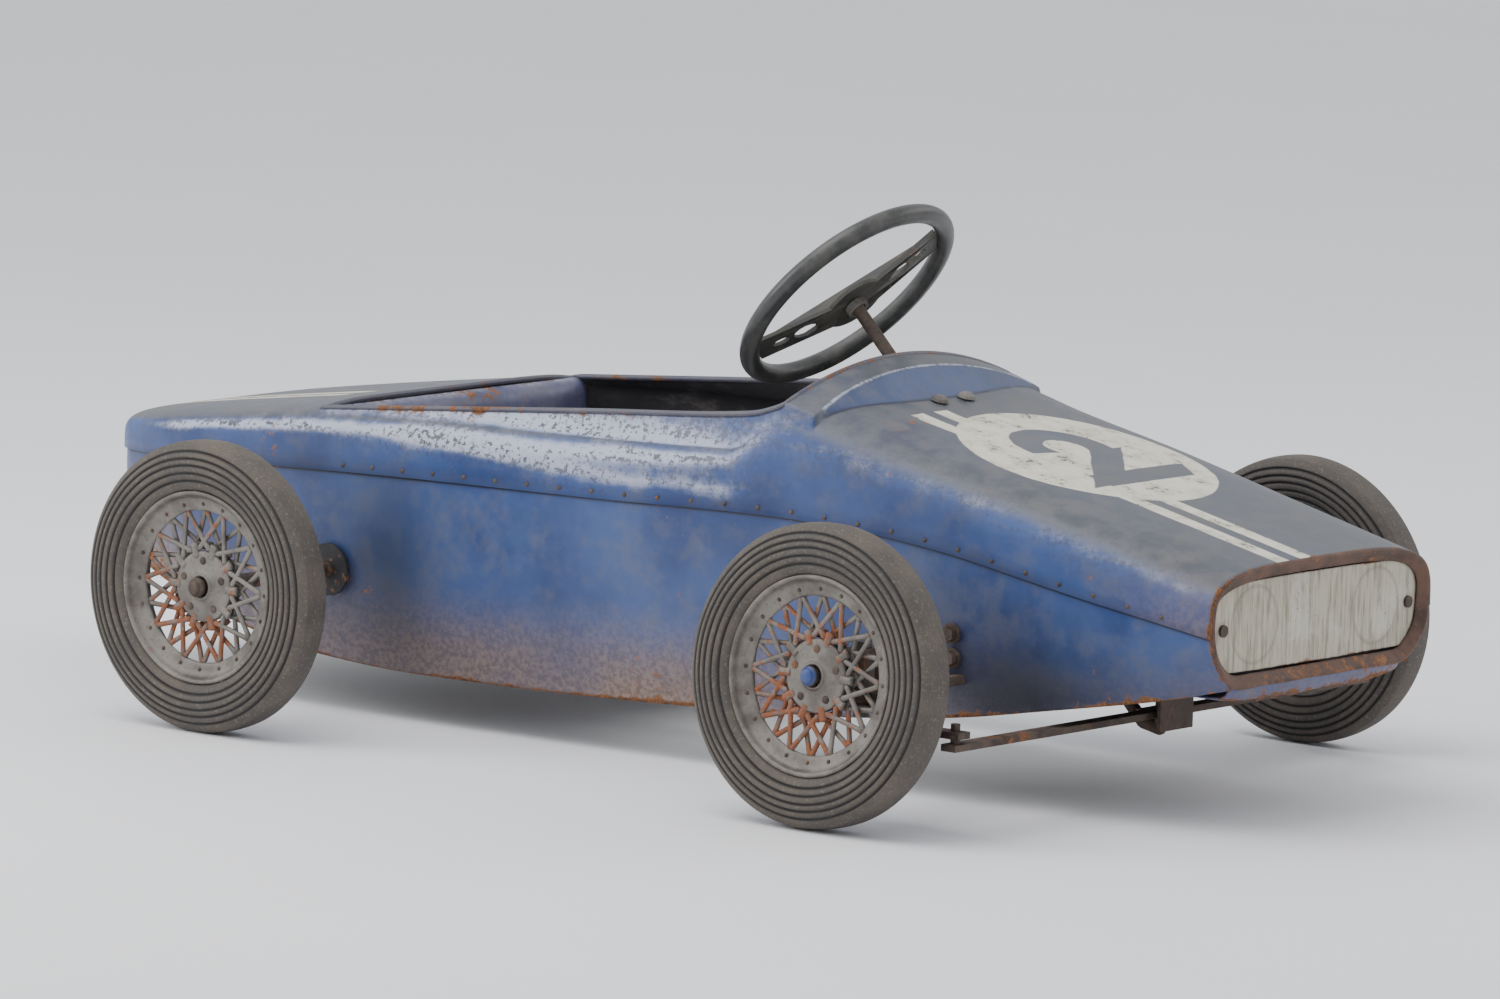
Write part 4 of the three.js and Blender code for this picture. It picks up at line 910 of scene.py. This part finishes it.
groove_radii = (80.4, 86.1, 91.9, 97.0, 102.4)
wall_radius = np.linspace(73.2, 109.2, 92)
wall_bulge = smooth_through((73.2, 12.6), (76, 14.8), (80.4, 16.4), (86.1, 18.2), (91.9, 18.5), (97, 17.8),
                            (102.4, 15.9), (106, 13.6), (109.2, 10.2))(wall_radius)
wall_groove = sum(np.exp(-((wall_radius - r) / 1.05) ** 2) for r in groove_radii)
wall_offset = wall_bulge - 1.5 * wall_groove
tread_offset = np.linspace(9.2, -9.2, 17)
tread_radius = 110 - 0.008 * tread_offset ** 2
tyre_radius = np.concatenate([wall_radius, tread_radius, wall_radius[::-1], [72.6, 72.6, 72.6]])
tyre_offset = np.concatenate([wall_offset, tread_offset, -wall_offset[::-1], [-8, 0, 8]])
tyre_groove_shade = np.concatenate([wall_groove, 0 * tread_offset, wall_groove[::-1], [1, 1, 1]])


def lathe(radius, offset, sides=144):
    """A ring of points round the local Y axis from a profile of radius and offset."""
    turn = even_turn(sides)[:, None]
    return np.stack([radius * np.cos(turn), offset + 0 * turn, radius * np.sin(turn)], -1)


camber = math.radians(4.3)
wheels = []
for end in ("front", "rear"):
    for name, side in (("right", -1), ("left", 1)):
        low, high = (np.array(v) * 1000 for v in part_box(f"tyre_{end}_{name}"))
        lean = side * camber if end == "front" else 0.0
        tilt = np.array([[1, 0, 0], [0, math.cos(lean), -math.sin(lean)],
                         [0, math.sin(lean), math.cos(lean)]])
        facing = np.diag([side, side, 1.0])
        body = f"front_wheel_{name}" if end == "front" else "rear_wheels"
        wheels.append((end, name, (low + high) / 2, tilt @ facing, body))


def put(points, centre, turn):
    """Points of a wheel taken from its own frame, with +Y outwards, to its place."""
    return points @ turn.T + centre


for end, name, centre, turn, body in wheels:
    grid = put(lathe(tyre_radius, tyre_offset), centre, turn)
    tyre = make_mesh(f"ribbed_tyre_{end}_{name}", grid[:, ::-1], None,
                     {"groove_shade": np.clip(tyre_groove_shade[::-1], 0, 1)}, True, True)
    finish_piece(tyre, rubber, body, "tyre_rubber", f"tyre_{end}_{name}")


# ---------------- wheel centres
# A pressed rim with a rolled lip, and a hub plate with five studs, joined by two
# layers of crossing spokes. Dull grey plating, blooming orange on the spokes.
def make_wheel_metal(name, push):
    """Dull grey plated steel with rust, heavier in the corners than on the lips."""
    material, tree, shader, where = new_material(name)
    patches, fine = noise(tree, where, 36, 6, 0.66), noise(tree, where, 320, 5, 0.72)
    colour = mottle(tree, patches, 0.35, 0.66, (0.125, 0.110, 0.095), (0.245, 0.225, 0.200))
    colour = blend_colours(tree, spread(tree, fine, 0.55, 0.68, 0, 0.7), colour, (0.11, 0.085, 0.068))
    rust = use_group(tree, rust_group, Vector=where, Push=push)
    warm = blend_colours(tree, 0.5, rust["Colour"], (0.30, 0.095, 0.045))
    dress(tree, shader, blend_colours(tree, rust["Mask"], colour, warm),
          maths(tree, "MAXIMUM", spread(tree, patches, 0.3, 0.7, 0.42, 0.66),
                maths(tree, "MULTIPLY", rust["Mask"], 0.85)),
          maths(tree, "MULTIPLY", maths(tree, "SUBTRACT", 1.0, rust["Mask"]), 0.55))
    roughen(tree, shader, weighted(tree, (fine, 0.8), (patches, 1)), 0.4)
    return material


rim_metal = make_wheel_metal("rim_plating", 0.0)
spoke_metal = make_wheel_metal("spoke_plating", 0.115)
rim_profile = np.array([
    (57.2, 4.4), (58.2, 5.6), (60.5, 6.2), (64, 6.9), (66.5, 8.0), (68.2, 10.0), (68.9, 12.2), (69.8, 13.8),
    (71.2, 14.4), (72.5, 13.8), (73.0, 12.4), (72.6, 10.8), (71.8, 9.0), (71.7, 0), (71.8, -9.0),
    (72.6, -10.8), (73.0, -12.4), (72.5, -13.8), (71.2, -14.4), (69.8, -13.8), (69.4, -12.2), (69.9, -9.0),
    (69.8, 0), (69.4, 6.2), (67.6, 6.4),
    (64.6, 5.0), (60.5, 4.2), (58.0, 2.6), (57.2, 3.2)])
hub_profile = np.array([
    (6.4, 9.0), (9.4, 9.0), (10.0, 8.4), (10.6, 7.0), (12.2, 6.0), (18.0, 5.6), (24.6, 5.4), (26.6, 4.8),
    (27.2, 3.4), (27.0, 0.5), (26.4, -3.0), (24.0, -4.4), (15.0, -4.8), (13.4, -6.5), (12.8, -16.0),
    (11.6, -17.4), (6.4, -17.4)])
spoke_turn = even_turn(8)[None, :]


def spoke(start, finish, off_start, off_finish, wide, thick):
    """A bar between two (radius, angle) places in the wheel's plane. Its section is a
    flattened circle that swells at both ends and closes to a point beyond them."""
    p = np.array([start[0] * math.cos(start[1]), off_start, start[0] * math.sin(start[1])])
    q = np.array([finish[0] * math.cos(finish[1]), off_finish, finish[0] * math.sin(finish[1])])
    along = (q - p) / np.linalg.norm(q - p)
    across = np.cross(along, [0, 1.0, 0])
    across /= np.linalg.norm(across)
    out = np.cross(across, along)
    t = np.linspace(0, 1, 12)[:, None]
    swell = (1 + 0.5 * (2 * t - 1) ** 6) * np.where((t == 0) | (t == 1), 0.02, 1)
    line = p + (q - p) * t
    return (line[:, None] + (swell * wide * np.cos(spoke_turn))[..., None] * across
            + (swell * thick * np.sin(spoke_turn))[..., None] * out)


lattice = []
pitch = 2 * math.pi / 10
for hub_off, ring_off, phase in ((4.0, 4.4, 0.0), (-2.0, 3.2, 0.5)):
    for k in range(10):
        root = (k + phase) * pitch
        lattice.append(spoke((22, root), (34, root), hub_off, hub_off + 0.4, 3.4, 2.3))
        for lean in (-1, 1):
            lattice.append(spoke((27, root + lean * 0.1 * pitch), (59.5, root + lean * pitch),
                                 hub_off + 0.3, ring_off, 2.0, 1.7))


def turned_piece(name, profile, sides, centre, turn, flip):
    """A closed turned piece, its edges eased by one subdivision."""
    grid = put(lathe(profile[:, 0], profile[:, 1], sides), centre, turn)
    piece = make_mesh(name, grid[:, ::-1] if flip else grid, None, None, True, True)
    smoothing = piece.modifiers.new("fillets", "SUBSURF")
    smoothing.levels = smoothing.render_levels = 1
    return piece


def dome_circle(name, angles, circle, offset, centre, turn, radius, height):
    """Domes on a circle in a wheel's plane."""
    seats = np.stack([circle * np.cos(angles), np.full(len(angles), offset), circle * np.sin(angles)], 1)
    outward = np.tile(turn @ np.array([0, 1.0, 0]), (len(angles), 1))
    return make_domes(name, put(seats, centre, turn), outward, radius, height)


for end, name, centre, turn, body in wheels:
    tag = f"{end}_{name}"
    rim = turned_piece(f"pressed_rim_{tag}", rim_profile, 120, centre, turn, True)
    finish_piece(rim, rim_metal, body, "wheel_metal", f"wheel_centre_{tag}")
    hub = turned_piece(f"hub_plate_{tag}", hub_profile, 60, centre, turn, False)
    finish_piece(hub, rim_metal, body, "wheel_metal")
    bars = make_many(f"lattice_spokes_{tag}", [put(bar, centre, turn) for bar in lattice])
    finish_piece(bars, spoke_metal, body, "wheel_metal")
    studs = dome_circle(f"hub_studs_{tag}", math.pi / 2 + even_turn(5), 19.5, 5.3, centre, turn, 3.2, 1.6)
    finish_piece(studs, rusty, body, "rusty_steel")
    rivets = dome_circle(f"rim_rivets_{tag}", even_turn(20), 62.6, 6.4, centre, turn, 1.7, 1.3)
    finish_piece(rivets, rusty, body, "rusty_steel")


# ---------------- axle caps
# Push-on caps: dark plastic with a blue end on the front stub axles, rusty steel behind.
cap_plastic, tree, shader, where = new_material("blue_cap_plastic")
patches, fine = noise(tree, where, 120, 5, 0.6), noise(tree, where, 700, 4, 0.7)
colour = mottle(tree, patches, 0.4, 0.7, (0.025, 0.060, 0.23), (0.075, 0.095, 0.18))
colour = blend_colours(tree, attribute(tree, "tip"), (0.030, 0.028, 0.027), colour)
dress(tree, shader, blend_colours(tree, spread(tree, fine, 0.58, 0.7, 0, 0.6), colour, (0.12, 0.10, 0.085)),
      spread(tree, patches, 0.3, 0.7, 0.35, 0.6))
roughen(tree, shader, fine, 0.25)
cap_profile = np.array([
    (0.05, 9.6), (6.0, 9.6), (7.2, 9.8), (7.5, 10.6), (7.5, 12.2), (7.0, 13.4), (5.9, 14.0), (5.4, 14.6),
    (5.2, 15.8), (4.2, 16.7), (2.0, 17.0), (0.05, 17.0)])
for end, name, centre, turn, body in wheels:
    grid = put(lathe(cap_profile[:, 0], cap_profile[:, 1], 40), centre, turn)
    cap = make_mesh(f"push_on_cap_{end}_{name}", grid[:, ::-1], None,
                    {"tip": ease((cap_profile[::-1, 1] - 12.5) / 2)}, True, False)
    close_poles(cap)
    material, slot = (cap_plastic, "cap_plastic") if end == "front" else (rusty, "rusty_steel")
    finish_piece(cap, material, body, slot, f"axle_cap_{end}_{name}")


# ---------------- steering wheel
# A moulded dark plastic rim over a wire hoop, shiny where it is held, and a
# dished two-spoke plate in dark paint that rusts at its edges and holes.
rim_plastic, tree, shader, where = new_material("dark_rim_plastic")
patches, fine = noise(tree, where, 50, 6, 0.65), noise(tree, where, 500, 5, 0.7)
colour = mottle(tree, patches, 0.4, 0.7, (0.040, 0.041, 0.040), (0.085, 0.082, 0.074))
dress(tree, shader, blend_colours(tree, spread(tree, fine, 0.56, 0.7, 0, 0.5), colour, (0.11, 0.10, 0.09)),
      spread(tree, patches, 0.3, 0.7, 0.28, 0.5))
roughen(tree, shader, weighted(tree, (fine, 0.5), (patches, 1)), 0.22)

lean = math.radians(48.1)
hoop_centre = np.array([111.0, 0, 343])
hoop_up = np.array([math.cos(lean), 0, math.sin(lean)])
hoop_out = np.array([-math.sin(lean), 0, math.cos(lean)])
turn, tube = even_turn(180)[:, None, None], even_turn(28)[None, :, None]
hoop_radius, tube_radius = 88, 7.5
ray = np.cos(turn) * hoop_up + np.sin(turn) * np.array([0, 1.0, 0])
grip = tube_radius - 0.35 * np.exp(-((np.cos(tube) + 1) / 0.03) ** 2)
hoop_grid = hoop_centre + ray * (hoop_radius + grip * np.cos(tube)) + hoop_out * grip * np.sin(tube) * 0.96
hoop = make_mesh("moulded_rim", hoop_grid[:, ::-1], None, None, True, True)
finish_piece(hoop, rim_plastic, "steering", "rim_plastic", "steering_wheel_rim")

dark_paint, tree, shader, where = new_material("dark_worn_paint")
patches, fine = noise(tree, where, 60, 6, 0.66), noise(tree, where, 380, 5, 0.7)
colour = mottle(tree, patches, 0.4, 0.65, (0.030, 0.030, 0.026), (0.070, 0.064, 0.050))
rust = use_group(tree, rust_group, Vector=where, Push=0.05)
dress(tree, shader, blend_colours(tree, rust["Mask"], colour, rust["Colour"]),
      spread(tree, patches, 0.3, 0.7, 0.4, 0.7))
roughen(tree, shader, maths(tree, "ADD", fine, rust["Height"]), 0.35)
paint_node("steering_wheel_spokes", dark_paint)
